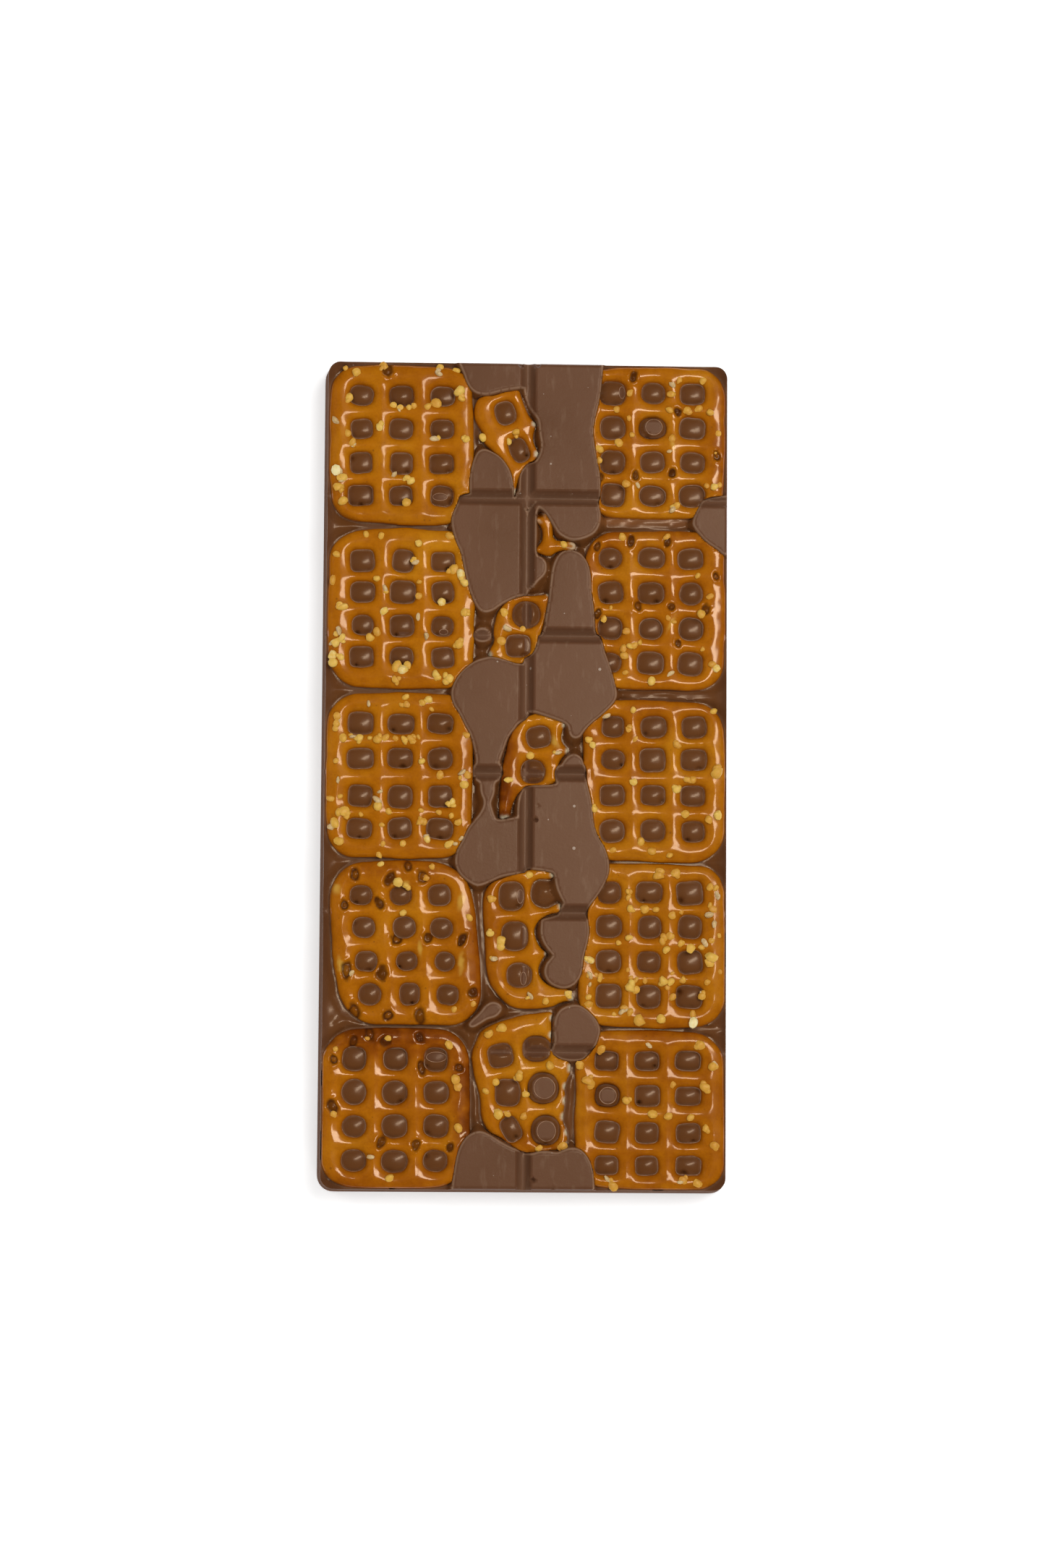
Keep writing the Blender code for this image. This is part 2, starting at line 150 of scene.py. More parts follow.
# Whole pretzels: sides, hole columns from left to right, hole rows from the top down,
# hole width and height, hole corner radius, outline's corner radius, lean, crest change,
# browning at top, left, bottom, right and all over
Waffle = namedtuple("Waffle", "node left right bottom top columns rows hole corner round lean "
                              "lift baked")
WAFFLES = (
    Waffle("pretzel_left_1", -38.5, -10.5, 47.9, 79.2, (-32.2, -24.5, -16.6),
           (73.0, 66.6, 59.9, 53.6), (4.6, 4.1), 1.35, 5.6, 0, 0.05, (0.1, 0.15, 0.15, 0.1, 0)),
    Waffle("pretzel_left_2", -38.4, -10.0, 16.0, 47.3, (-31.7, -24.0, -16.2),
           (40.9, 34.8, 28.4, 22.2), (4.55, 4.1), 1.4, 6.2, 0, 0.0, (0.1, 0.1, 0.15, 0.1, 0)),
    Waffle("pretzel_left_3", -38.5, -10.0, -16.6, 15.5, (-31.8, -24.1, -16.4),
           (9.4, 2.7, -4.6, -10.8), (4.7, 4.25), 1.4, 6.2, 0, 0.0, (0.1, 0.1, 0.1, 0.1, 0.02)),
    Waffle("pretzel_left_4", -36.9, -8.7, -48.4, -16.7, (-30.55, -22.9, -15.65),
           (-23.55, -29.75, -36.25, -42.5), (4.1, 3.95), 1.75, 7.8, -0.095, 0.0,
           (0.35, 0.1, 0.1, 0.45, 0.04)),
    Waffle("pretzel_left_5", -38.9, -10.0, -79.6, -48.8, (-32.35, -24.55, -16.75),
           (-54.85, -61.15, -67.6, -74.2), (4.75, 4.5), 2.0, 6.8, 0, 0.05,
           (0.95, 0.15, 0.3, 0.95, 0.09)),
    Waffle("pretzel_right_1", 11.0, 38.5, 49.6, 79.5, (16.4, 24.2, 31.9),
           (74.2, 67.4, 60.7, 54.2), (4.8, 4.35), 1.7, 5.6, 0, 0.0,
           (0.15, 0.1, 0.05, 0.5, 0.13)),
    Waffle("pretzel_right_2", 11.0, 38.6, 16.3, 47.4, (16.1, 24.0, 31.7),
           (42.0, 35.3, 28.3, 21.6), (4.8, 4.2), 1.75, 6.0, 0, 0.0,
           (0.35, 0.35, 0.1, 0.3, 0.11)),
    Waffle("pretzel_right_3", 10.7, 38.6, -17.0, 14.5, (16.7, 24.5, 32.3),
           (9.3, 2.9, -4.05, -10.8), (4.65, 4.2), 1.45, 6.2, 0, 0.05,
           (0.25, 0.2, 0.25, 0.25, 0.17)),
    Waffle("pretzel_right_4", 10.2, 38.7, -48.7, -17.1, (16.1, 23.9, 31.7),
           (-22.7, -29.2, -36.0, -42.6), (4.75, 4.35), 1.5, 6.0, 0, 0.05,
           (0.2, 0.15, 0.25, 0.2, 0.13)),
    Waffle("pretzel_right_5", 9.7, 38.7, -79.6, -49.0, (15.9, 23.6, 31.5),
           (-54.85, -61.55, -68.5, -74.8), (4.75, 3.9), 1.3, 6.0, 0, 0.0,
           (0.35, 0.25, 0.3, 0.3, 0.22)),
)

# How much the whole pretzels differ: share of a hole's size, shift, turn in degrees, and
# how far the sides bulge
HOLE_SPREAD = 0.085
HOLE_SHIFT = 0.1
HOLE_TURN = 6
SIDE_BULGE = (0.1, 0.35)

# How near a groove's middle a dome is kept under the mould's ridge, and how far under it
RIDGE_REACH = 1.7
RIDGE_GAP = 0.14

# Domes that rose higher than the rest, as hole place and height
TALL_DOMES = (
    (-16.4, 28.6, 8.2), (24.2, 67.1, 10.5), (15.9, -61.5, 10.5), (16.4, 73.9, 8.4),
    (23.9, 35.1, 8.2), (-24.9, 73.3, 8.3),
)

# Gaps between pretzels that the chocolate filled nearly to the mould, as a place, half
# sizes, rise, and how far pretzel glaze stained them
FILLED = ((22.5, 48.75, 9.5, 1.5, 0.45, 0.6), (27.5, 15.3, 9.5, 1.0, 0.6, 0.0),
          (35.0, -48.9, 4.0, 0.8, 0.5, 0.0))

# Small flat ovals, with a rim in a painted highlight, where a dome touched the mould: place and half
# sizes
LENSES = (
    (-16.9, 53.5, 1.4, 0.7), (-16.0, 27.2, 0.8, 0.5), (18.2, 74.3, 0.6, 1.15),
    (-0.9, -23.6, 0.6, 1.3), (-0.2, -39.3, 0.55, 1.25), (-16.7, -54.4, 1.9, 0.95),
    (24.3, 67.4, 1.6, 1.5), (16.0, -61.5, 1.6, 1.55), (3.9, -60.1, 2.0, 2.0),
    (4.3, -68.3, 1.75, 1.9),
)

# Broken pretzels: outline, and holes as x, y, width, height, corner, turn, dome
Broken = namedtuple("Broken", "node outline holes")
BROKEN = (
    Broken("pretzel_piece_1",
           [(-9.9, 72.9), (-8.3, 73.4), (-6.8, 73.5), (-5.0, 74.1), (-3.1, 74.5), (-1.5, 74.6),
            (-1.1, 72.7), (-0.5, 70.9), (0.1, 69.5), (0.9, 68.5), (1.45, 67.9), (1.1, 66.5),
            (0.85, 65.2), (1.1, 63.8), (1.75, 62.6), (2.0, 61.9), (1.3, 60.8), (0.3, 60.6),
            (-0.3, 60.0), (-1.1, 58.7), (-1.85, 57.1), (-2.1, 55.3), (-2.3, 53.6),
            (-3.0, 54.4), (-3.3, 56.7), (-3.5, 58.4), (-4.3, 59.8), (-5.5, 61.3),
            (-7.6, 62.8), (-8.7, 64.0), (-8.6, 65.1), (-9.0, 66.5), (-9.8, 67.8),
            (-10.4, 69.3), (-10.5, 71.2)],
           [(-4.4, 70.0, 4.0, 4.6, 1.7, 17, 8.0), (-1.7, 62.8, 3.5, 4.9, 1.6, 24, 8.0)]),
    Broken("pretzel_piece_2",
           [(3.8, 50.4), (4.5, 49.1), (4.95, 47.2), (5.1, 45.6), (6.9, 45.2), (8.4, 45.2),
            (9.6, 44.6), (9.4, 43.1), (7.0, 43.0), (5.5, 42.6), (4.7, 42.0), (3.3, 42.1),
            (1.2, 43.0), (2.1, 44.3), (2.75, 45.4), (2.8, 47.0), (2.3, 48.2), (1.0, 48.8),
            (0.7, 50.0), (1.2, 51.1), (2.1, 51.8), (3.3, 51.3)],
           []),
    Broken("pretzel_piece_3",
           [(-3.5, 33.8), (-1.5, 34.3), (0.85, 34.55), (2.95, 34.7), (3.9, 35.0),
            (4.65, 34.4), (4.0, 32.3), (3.5, 30.2), (3.1, 28.1), (2.15, 26.0), (2.0, 24.4),
            (1.1, 23.4), (0.3, 22.05), (-1.25, 21.1), (-2.85, 21.4), (-4.4, 21.9),
            (-6.25, 22.3), (-7.45, 22.6), (-7.2, 23.9), (-6.25, 25.5), (-6.65, 27.6),
            (-6.25, 29.7), (-5.75, 31.3), (-4.7, 32.6)],
           [(-0.1, 30.75, 5.4, 5.2, 2.5, 0, 8.9), (-1.65, 24.7, 4.8, 4.4, 1.4, 0, 8.0)]),
    Broken("pretzel_piece_4",
           [(1.35, 11.65), (2.95, 11.4), (5.05, 10.7), (6.4, 10.5), (7.8, 9.55), (7.15, 8.95),
            (6.75, 7.1), (7.15, 5.8), (8.5, 4.35), (7.15, 3.4), (6.4, 2.1), (5.7, 0.25),
            (6.4, -1.45), (5.05, -2.2), (2.4, -2.5), (0.3, -2.6), (-1.0, -3.2),
            (-2.05, -5.0), (-2.6, -6.85), (-2.7, -8.55), (-5.2, -9.1), (-5.2, -6.85),
            (-5.1, -3.7), (-4.55, -0.5), (-4.55, 2.1), (-4.15, 3.95), (-3.6, 6.05),
            (-2.6, 8.15), (-1.25, 9.5), (-0.2, 10.5)],
           [(2.4, 7.1, 4.6, 4.2, 1.5, 8, 8.1), (1.35, 0.4, 4.6, 4.6, 2.0, 0, 8.6)]),
    Broken("pretzel_piece_5",
           [(-6.5, -20.8), (-4.0, -19.9), (-2.05, -19.2), (-0.2, -18.7), (1.5, -18.4),
            (3.5, -18.6), (5.05, -18.95), (5.6, -19.75), (4.6, -20.4), (2.2, -20.4),
            (1.4, -21.8), (1.2, -24.0), (2.2, -25.4), (4.2, -25.8), (5.6, -24.9),
            (7.15, -24.4), (6.9, -26.9), (4.8, -27.15), (2.95, -27.95), (1.9, -29.5),
            (1.9, -31.1), (2.95, -33.2), (4.55, -34.5), (3.5, -35.6), (2.7, -37.7),
            (3.2, -39.3), (4.55, -40.6), (6.4, -41.4), (8.5, -41.4), (9.4, -42.4),
            (9.4, -43.6), (7.15, -43.7), (5.05, -44.9), (1.1, -45.3), (-2.3, -45.05),
            (-4.4, -43.5), (-5.7, -41.9), (-6.8, -40.3), (-7.3, -37.15), (-7.7, -33.2),
            (-8.0, -29.3), (-8.1, -26.1), (-8.2, -24.2), (-7.85, -22.4)],
           [(-2.6, -23.55, 4.9, 5.6, 2.0, 0, 7.95), (-1.9, -31.2, 5.2, 5.6, 2.2, 0, 8.0),
            (-1.0, -38.7, 4.8, 4.7, 2.0, 0, 8.0)]),
    Broken("pretzel_piece_6",
           [(-10.1, -53.8), (-8.9, -50.85), (-8.1, -49.3), (-5.5, -47.95), (-3.4, -47.2),
            (-0.2, -46.1), (2.95, -45.7), (5.6, -45.45), (5.2, -47.2), (5.3, -49.0),
            (5.05, -51.9), (5.6, -54.5), (9.1, -55.1), (9.0, -57.2), (8.1, -58.8),
            (7.9, -60.6), (8.1, -62.2), (7.75, -64.3), (7.5, -66.5), (8.2, -67.9),
            (8.65, -69.7), (8.55, -71.3), (6.7, -72.2), (4.45, -72.2), (1.7, -72.6),
            (-0.1, -72.5), (-1.45, -71.9), (-3.3, -70.6), (-4.9, -69.5), (-6.2, -68.8),
            (-7.1, -67.7), (-8.05, -65.6), (-8.5, -62.2), (-9.2, -59.5), (-9.75, -56.5)],
           [(-4.5, -54.05, 4.8, 4.6, 1.6, 10, 8.1), (2.4, -52.7, 5.4, 4.8, 2.2, 0, 9.3),
            (-3.05, -61.1, 4.8, 5.2, 1.7, 0, 8.1), (3.7, -60.2, 5.8, 5.8, 2.8, 0, 11.0),
            (-2.35, -68.0, 3.6, 5.0, 1.6, 28, 8.0), (4.2, -68.2, 5.4, 5.6, 2.6, 0, 10.6)]),
)

# Browning of the broken pieces, in the same order as that of the whole ones
PLAIN_BAKED = (0.05, 0.1, 0.05, 0.1, 0)
BROKEN_BAKED = {
    "pretzel_piece_2": (0.08, 0.12, 0.12, 0.08, 0.0),
    "pretzel_piece_4": (0.05, 1.0, 0.1, 0.1, 0),
    "pretzel_piece_5": (0.05, 0.3, 0.1, 0.1, 0),
    "pretzel_piece_6": (0.1, 0.2, 0.3, 0.2, 0.08),
}

# Where the chocolate reached the mould. An area beside a groove runs on past the
# groove's middle, so that it overlaps the area on the other side.
FACE_AREAS = (
    [(-13.8, 82), (-13.5, 79.8), (-12.45, 77.5), (-11.9, 75.7), (-10.7, 73.85), (-8.4, 73.3),
     (-6.3, 73.85), (-4.95, 74.25), (-1.65, 74.8), (0.8, 75.0), (0.8, 82)],
    [(-0.8, 82), (-0.8, 74.3), (0.3, 71.3), (1.3, 69.6), (2.15, 68.4), (2.3, 66.0),
     (2.75, 63.6), (2.4, 61.7), (1.5, 60.2), (0.4, 60.2), (-0.5, 59.6), (-1.3, 58.2),
     (-1.6, 56.8), (-1.6, 52.5), (13.95, 52.5), (13.95, 54.95), (13.75, 58.3), (13.2, 60.9),
     (12.7, 63.6), (12.4, 66.5), (12.7, 68.8), (13.5, 72.0), (14.0, 75.4), (14.3, 79.7),
     (14.4, 82)],
    [(-11.0, 52.5), (-11.05, 54.95), (-11.1, 56.7), (-10.7, 59.6), (-9.8, 62.0), (-8.5, 62.6),
     (-7.05, 62.1), (-5.5, 61.2), (-4.15, 59.6), (-3.2, 57.5), (-2.85, 54.95), (-2.6, 52.5)],
    [(-13.0, 54.3), (-13.4, 52.0), (-14.4, 49.9), (-14.6, 48.6), (-14.15, 46.2), (-13.4, 44.1),
     (-12.6, 42.6), (-12.05, 39.4), (-11.3, 36.3), (-10.3, 33.4), (-9.15, 31.5), (-8.0, 31.0),
     (-6.5, 31.5), (-4.95, 32.7), (-3.4, 33.6), (-1.6, 34.3), (0.8, 34.9), (0.8, 54.3)],
    [(-0.8, 54.3), (-0.8, 35.2), (0.6, 35.8), (1.4, 36.5), (1.9, 37.2), (3.2, 38.4),
     (3.55, 39.4), (3.5, 40.7), (2.7, 41.65), (1.65, 41.9), (1.55, 45.0), (1.6, 50.6),
     (2.2, 51.7), (3.5, 50.7), (4.8, 48.6), (5.85, 46.7), (7.2, 45.7), (9.0, 45.2),
     (11.1, 45.7), (12.95, 46.7), (13.9, 48.6), (13.95, 50.4), (13.6, 51.9), (13.7, 54.3)],
    [(7.4, 43.15), (6.1, 42.3), (5.3, 40.7), (4.9, 39.15), (4.65, 36.8), (4.4, 34.7),
     (4.15, 32.3), (3.6, 29.7), (3.6, 28.2), (3.0, 27.0), (2.6, 25.8), (13.9, 25.8),
     (13.3, 27.2), (12.95, 28.2), (12.8, 31.3), (12.55, 33.4), (12.15, 35.5), (12.15, 38.1),
     (11.75, 40.2), (10.85, 41.9), (9.25, 43.0)],
    [(2.4, 27.5), (2.15, 24.9), (1.5, 23.3), (0.6, 22.6), (-0.8, 22.0), (-0.8, 12.1),
     (1.55, 11.9), (2.4, 11.65), (4.0, 11.1), (5.6, 10.6), (7.4, 9.95), (8.2, 9.15),
     (8.5, 7.3), (9.4, 6.9), (10.3, 7.2), (10.85, 8.1), (11.9, 9.4), (13.2, 10.5),
     (15.05, 12.05), (16.9, 14.0), (17.3, 15.5), (16.6, 18.6), (15.85, 21.0), (15.05, 23.1),
     (14.5, 25.1), (14.0, 27.5)],
    [(0.8, 10.9), (0.8, 21.4), (-1.6, 20.8), (-3.4, 21.4), (-4.95, 21.9), (-6.8, 22.3),
     (-8.4, 21.9), (-9.95, 21.4), (-11.5, 20.3), (-13.1, 18.6), (-14.05, 16.8), (-14.4, 15.0),
     (-13.9, 13.1), (-12.6, 11.3), (-11.65, 9.2), (-10.6, 7.5), (-9.8, 4.7), (-9.3, 1.9),
     (-10.0, 1.2), (-10.1, 0.0), (-9.8, -0.9), (-4.8, -0.9), (-4.4, 0.0), (-4.7, 1.2),
     (-5.4, 1.9), (-4.4, 4.7), (-3.6, 7.1), (-2.3, 8.7), (-1.6, 9.8)],
    [(-9.6, 0.8), (-9.7, -1.3), (-8.6, -1.8), (-8.6, -3.7), (-7.7, -5.6), (-8.4, -7.6),
     (-9.7, -9.2), (-11.0, -10.8), (-12.0, -13.2), (-13.1, -15.0), (-13.35, -17.4),
     (-12.6, -19.3), (-11.0, -20.7), (-9.4, -21.6), (-8.1, -21.4), (-6.5, -20.65),
     (-4.95, -19.9), (-3.4, -19.5), (-1.6, -19.2), (0.8, -18.8), (0.8, -8.3), (-1.6, -8.55),
     (-5.5, -9.4), (-6.25, -8.15), (-6.8, -6.3), (-6.9, -5.7), (-6.1, -3.7), (-6.2, -1.8),
     (-4.9, -1.2), (-4.8, 0.8)],
    [(5.7, -0.8), (5.6, 0.3), (5.9, 1.2), (7.0, 1.6), (7.7, 2.9), (9.1, 3.8), (10.6, 3.0),
     (10.9, 1.8), (11.4, 1.2), (11.6, 0.0), (11.4, -0.8)],
    [(1.5, -2.4), (5.05, -2.4), (6.2, -2.0), (5.7, -1.0), (5.6, 0.8), (11.5, 0.8),
     (11.5, -1.4), (11.8, -2.6), (12.4, -5.0), (12.7, -7.4), (12.95, -10.0), (13.75, -12.1),
     (14.8, -13.7), (15.6, -15.5), (16.0, -17.9), (15.7, -19.7), (14.8, -21.6), (13.5, -23.7),
     (12.4, -25.0), (11.9, -26.2), (11.8, -27.5), (6.9, -27.5), (6.8, -26.0), (7.6, -24.8),
     (6.9, -23.7), (6.0, -21.6), (5.7, -19.2), (5.05, -18.8), (3.5, -18.55), (1.5, -18.3),
     (-0.8, -18.2), (-1.0, -12.0), (-1.5, -8.5), (-1.4, -5.8), (-0.9, -3.7), (-0.2, -2.5)],
    # Lighten by the painted highlight beside the crust, the painted light in the grooves and the
    # pale line along the flat areas' edges
    [(6.9, -25.9), (6.6, -27.2), (5.0, -27.7), (3.2, -28.1), (3.2, -29.0), (3.1, -30.6),
     (3.65, -32.4), (4.8, -34.0), (5.65, -34.8), (5.05, -35.6), (4.15, -36.6), (3.8, -38.2),
     (4.55, -39.8), (5.9, -40.7), (7.7, -41.1), (9.3, -40.45), (10.3, -39.3), (10.9, -37.7),
     (11.0, -35.6), (11.4, -34.0), (11.9, -32.2), (12.2, -30.0), (11.9, -28.35),
     (11.8, -25.9)],
    [(9.15, -44.4), (7.15, -45.05), (6.0, -46.6), (5.75, -49.0), (6.0, -50.85), (5.7, -52.0),
     (5.3, -53.2), (6.4, -54.3), (8.2, -54.85), (11.1, -54.8), (12.2, -53.7), (13.5, -52.2),
     (14.3, -49.8), (14.3, -48.5), (13.5, -46.9), (11.9, -45.3), (10.6, -44.5)],
    [(-6.0, -43.9), (-4.7, -44.4), (-4.4, -45.3), (-5.5, -46.6), (-7.05, -46.9), (-8.4, -47.8),
     (-9.95, -48.7), (-10.6, -48.2), (-9.7, -47.2), (-8.4, -46.1), (-7.3, -44.5)],
    [(-13.8, -82), (-13.6, -79.95), (-13.05, -75.9), (-12.6, -73.1), (-11.9, -71.1),
     (-10.8, -69.5), (-9.4, -68.7), (-8.05, -68.5), (-6.45, -69.2), (-4.9, -70.2),
     (-3.3, -71.1), (-1.55, -71.9), (0.8, -72.6), (0.8, -82)],
    [(-0.8, -82), (-0.8, -72.6), (1.6, -72.8), (2.85, -72.3), (4.45, -72.2), (6.5, -72.6),
     (7.6, -72.0), (8.8, -71.6), (10.1, -71.6), (11.3, -72.2), (12.3, -73.5), (13.0, -75.2),
     (13.3, -77.0), (13.4, -80.0), (13.5, -82)],
    [(42, 54.4), (38.4, 54.2), (34.4, 53.8), (33.25, 52.0), (31.8, 48.8), (32.8, 47.3),
     (34.5, 45.3), (36.9, 43.8), (38.0, 42.8), (42, 41.5)],
    [(-10.35, 26.6), (-9.8, 27.5), (-8.55, 27.9), (-7.3, 27.5), (-6.75, 26.6), (-7.3, 25.7),
     (-8.55, 25.3), (-9.8, 25.7)],
    [(-2.3, 51.2), (-2.3, 54.8), (1.6, 54.8), (1.6, 51.5)],
)

# Pretzels with the glossiest glaze
GLOSSY = ("pretzel_left_5", "pretzel_right_1", "pretzel_right_2", "pretzel_piece_1")

# Small air bubbles that broke open in the flat areas, as x, y and radius
BUBBLES = ((1.9, -8.95, 0.45), (1.75, -77.6, 0.5), (5.6, -79.0, 0.25), (-1.5, 79.3, 0.6),
           (1.8, 79.3, 0.6), (0.9, 70.2, 0.3), (2.3, -6.2, 0.2))

# Blistered, toasted places on the pretzels
TOASTED = (
    (-27.3, 78.0), (-32.5, -19.6), (-26.0, -20.5), (-19.6, -20.0), (-22.5, -18.0),
    (-34.5, -25.5), (-28.0, -25.0), (-24.5, -32.0), (-18.5, -31.7), (-12.0, -32.0),
    (-34.0, -38.0), (-27.3, -38.6), (-9.8, -42.0), (-32.5, -46.0), (-26.0, -46.5),
    (-20.0, -46.7), (-29.5, -50.0), (-32.5, -51.5), (-26.5, -51.5), (-12.5, -56.4),
    (-19.5, -56.5), (-27.0, -70.5), (-20.5, -71.0), (-14.0, -71.5), (20.3, 77.2),
    (20.8, 58.0), (28.0, 58.6), (29.0, 70.5), (20.0, 45.2), (27.0, 45.0), (21.4, 32.6),
    (27.8, 32.5), (34.5, 32.0), (29.2, 25.5), (36.5, 38.5), (14.0, 57.5), (36.6, 62.0),
    (-20.0, -50.7), (-36.2, -55.0), (-36.4, -64.0), (13.6, 31.0), (13.4, 44.0),
)

# Pale smears where the glaze is thin, as x, y, half sizes and turn in degrees
THIN_GLAZE = (
    (-12.2, -24.6, 0.8, 2.2, -10), (-36.2, -22.6, 1.0, 1.2, 0), (-35.2, -37.0, 0.8, 1.6, 10),
    (-23.4, -21.6, 1.8, 0.7, 5), (28.0, 64.2, 0.5, 1.5, 15), (27.9, 29.4, 0.5, 2.0, -25),
    (-12.2, -36.5, 0.7, 2.4, 0), (-20.0, -34.0, 0.5, 1.8, 5), (5.6, 6.0, 0.7, 1.5, 20),
)

# Salt grains as x, y and size; a size of zero takes one by chance
SALT = (
    (-37.3, 67.8, 1.5), (-34.8, 72.5, 1.4), (-35.0, 65.7, 1.2), (-34.0, 63.8, 1.3),
    (-36.9, 58.3, 1.7), (-35.6, 57.0, 1.5), (-36.6, 55.1, 1.7), (-35.5, 52.4, 1.7),
    (-18.0, 71.5, 1.7), (-19.4, 71.0, 1.2), (-18.0, 64.8, 1.6), (-13.2, 74.0, 1.8),
    (-12.9, 72.5, 1.2), (-13.8, 78.0, 1.2), (-28.5, 66.9, 1.3), (-23.2, 52.3, 1.4),
    (-27.9, 78.6, 1.4), (-26.0, 70.9, 0), (-24.6, 70.7, 0), (-23.2, 70.8, 0),
    (-22.0, 70.8, 0), (-25.9, 57.4, 0), (-23.2, 56.9, 1.2), (-22.7, 56.2, 0),
    (-17.2, 77.4, 0), (-17.0, 78.6, 0), (-35.5, 78.2, 0), (-12.0, 64.5, 1.3),
    (-31.0, 46.0, 1.1), (-37.3, 37.0, 1.5), (-38.0, 31.6, 1.3), (-35.5, 31.8, 1.6),
    (-36.8, 24.7, 1.4), (-35.9, 27.0, 1.6), (-35.4, 25.7, 1.4), (-37.3, 22.6, 1.4),
    (-35.8, 21.9, 1.2), (-37.2, 20.8, 1.4), (-13.9, 39.2, 2.0), (-13.0, 38.4, 1.5),
    (-12.2, 36.5, 1.4), (-25.0, 20.1, 2.2), (-23.8, 19.9, 1.6), (-22.9, 20.7, 1.3),
    (-15.0, 18.0, 1.7), (-17.3, 18.7, 1.4), (-16.4, 33.1, 1.3), (-30.0, 26.0, 1.4),
    (-27.7, 31.2, 1.4), (-29.0, 37.2, 1.1), (-27.3, 35.3, 1.3), (-28.0, 45.5, 1.2),
    (-20.7, 34.1, 1.2), (-21.3, 40.7, 1.3), (-21.2, 44.3, 1.2), (-14.9, 45.8, 1.4),
    (-19.4, 26.2, 1.2), (-13.0, 25.0, 1.5), (-12.2, 31.0, 1.3), (-25.2, 17.6, 0),
    (-36.4, 9.4, 1.4), (-35.0, 6.4, 0), (-33.4, 6.7, 0), (-31.8, 6.4, 0), (-30.1, 6.6, 0),
    (-28.6, 6.3, 0), (-27.0, 6.6, 1.3), (-25.2, 6.5, 0), (-23.4, 6.4, 0), (-22.0, 6.6, 0),
    (-23.0, 14.5, 1.2), (-18.5, 14.0, 1.3), (-28.6, -5.3, 1.7), (-28.3, -6.8, 1.4),
    (-34.8, -7.7, 1.8), (-36.3, -9.8, 1.8), (-37.5, -5.0, 1.3), (-12.5, 0.0, 1.4),
    (-12.0, -2.2, 1.3), (-14.0, -5.6, 1.4), (-20.0, 2.3, 1.2), (-18.8, -12.7, 1.3),
    (-14.5, -14.0, 1.3), (-28.0, -16.0, 1.2), (-20.4, -9.5, 0), (-30.3, 12.9, 0),
    (-24.3, -21.0, 1.5), (-23.0, -21.8, 1.2), (-23.3, -27.0, 1.2), (-27.8, -17.7, 1.1),
    (-14.5, -52.3, 1.4), (-13.0, -58.5, 1.5), (-12.7, -68.0, 1.5), (-29.0, -73.3, 1.3),
    (-25.2, -77.4, 1.5), (-26.0, -50.9, 1.1), (-36.2, -65.4, 1.2),
    (34.0, 76.5, 1.2), (13.6, 61.0, 1.2), (28.0, 51.3, 1.3), (36.0, 56.0, 1.2),
    (15.0, 29.9, 1.2), (36.6, 20.5, 1.3), (24.0, 18.2, 1.4), (20.0, 24.8, 1.1),
    (15.3, 11.2, 1.4), (11.9, 6.8, 1.2), (13.0, 5.6, 1.2), (37.0, 0.5, 2.0),
    (37.0, -7.7, 1.6), (29.0, -3.0, 1.3), (30.5, -7.7, 1.2), (29.0, 5.8, 1.2),
    (19.5, 8.5, 1.1), (36.0, 12.2, 1.3), (32.0, -0.8, 1.2), (20.5, -1.4, 1.2),
    (13.0, -6.5, 1.2), (24.3, -14.6, 1.3), (17.0, -14.8, 1.1), (20.7, 12.6, 1.1),
    (25.7, -19.6, 1.8), (29.0, -19.0, 1.4), (37.0, -23.0, 1.4), (35.2, -27.0, 1.4),
    (35.9, -35.0, 2.1), (31.8, -33.2, 1.5), (34.3, -32.3, 1.4), (26.5, -39.5, 1.5),
    (28.0, -39.8, 1.3), (20.0, -41.0, 1.7), (21.2, -41.4, 1.3), (22.2, -47.2, 1.8),
    (26.0, -46.9, 1.4), (32.2, -47.6, 1.7), (34.0, -42.4, 1.3), (12.6, -35.7, 1.4),
    (12.2, -44.3, 1.4), (20.0, -31.3, 1.3), (27.0, -33.5, 1.2), (20.2, -25.9, 1.2),
    (14.8, -52.5, 1.4), (10.6, -55.6, 1.4), (12.3, -58.9, 1.8), (33.9, -52.0, 1.4),
    (36.2, -56.0, 1.4), (34.5, -59.6, 1.7), (19.4, -62.4, 1.3), (24.4, -65.0, 1.5),
    (27.6, -65.4, 1.4), (32.0, -65.6, 1.2), (34.6, -67.5, 1.2), (36.4, -71.0, 1.3),
    (30.6, -77.4, 1.3), (16.0, -77.4, 1.3), (17.0, -78.6, 1.6), (13.6, -76.6, 1.2),
    (33.3, -78.2, 1.5), (28.6, -59.4, 1.1), (23.8, -52.0, 1.2),
    (-4.8, -32.2, 1.9), (-5.8, -35.7, 1.2), (1.0, -42.7, 1.3), (4.0, -43.6, 1.2),
    (0.7, -19.5, 1.1), (8.6, -42.2, 1.3), (-6.6, -24.2, 1.2), (-6.8, -30.8, 1.2),
    (-6.7, -49.9, 1.5), (-4.2, -48.9, 1.5), (4.9, -56.0, 1.3), (-1.0, -58.0, 1.5),
    (-5.5, -59.0, 1.2), (-7.4, -61.0, 1.1), (-4.9, -65.3, 1.5), (-3.2, -65.2, 1.2),
    (0.0, -65.5, 1.2), (0.2, -61.4, 1.3), (7.4, -71.3, 1.4), (3.0, -71.6, 1.2),
    (-3.6, -1.3, 1.2), (0.7, 3.5, 1.2), (6.0, 4.0, 1.2), (-5.0, 25.5, 1.3),
    (-3.6, 28.0, 1.5), (-0.6, 28.0, 0), (-4.6, 31.0, 1.3), (-2.2, 66.3, 1.3),
    (-3.6, 64.4, 1.2), (-8.8, 65.0, 1.3), (7.0, 44.3, 1.2), (-3.9, 35.0, 0),
)

# Grains spread over the whole pretzels by chance, and how likely each pretzel is to get one
SPARE_GRAINS = 150
SPARE_LIKELY = (1, 4, 15, 3, 1, 7, 8, 6, 30, 0)

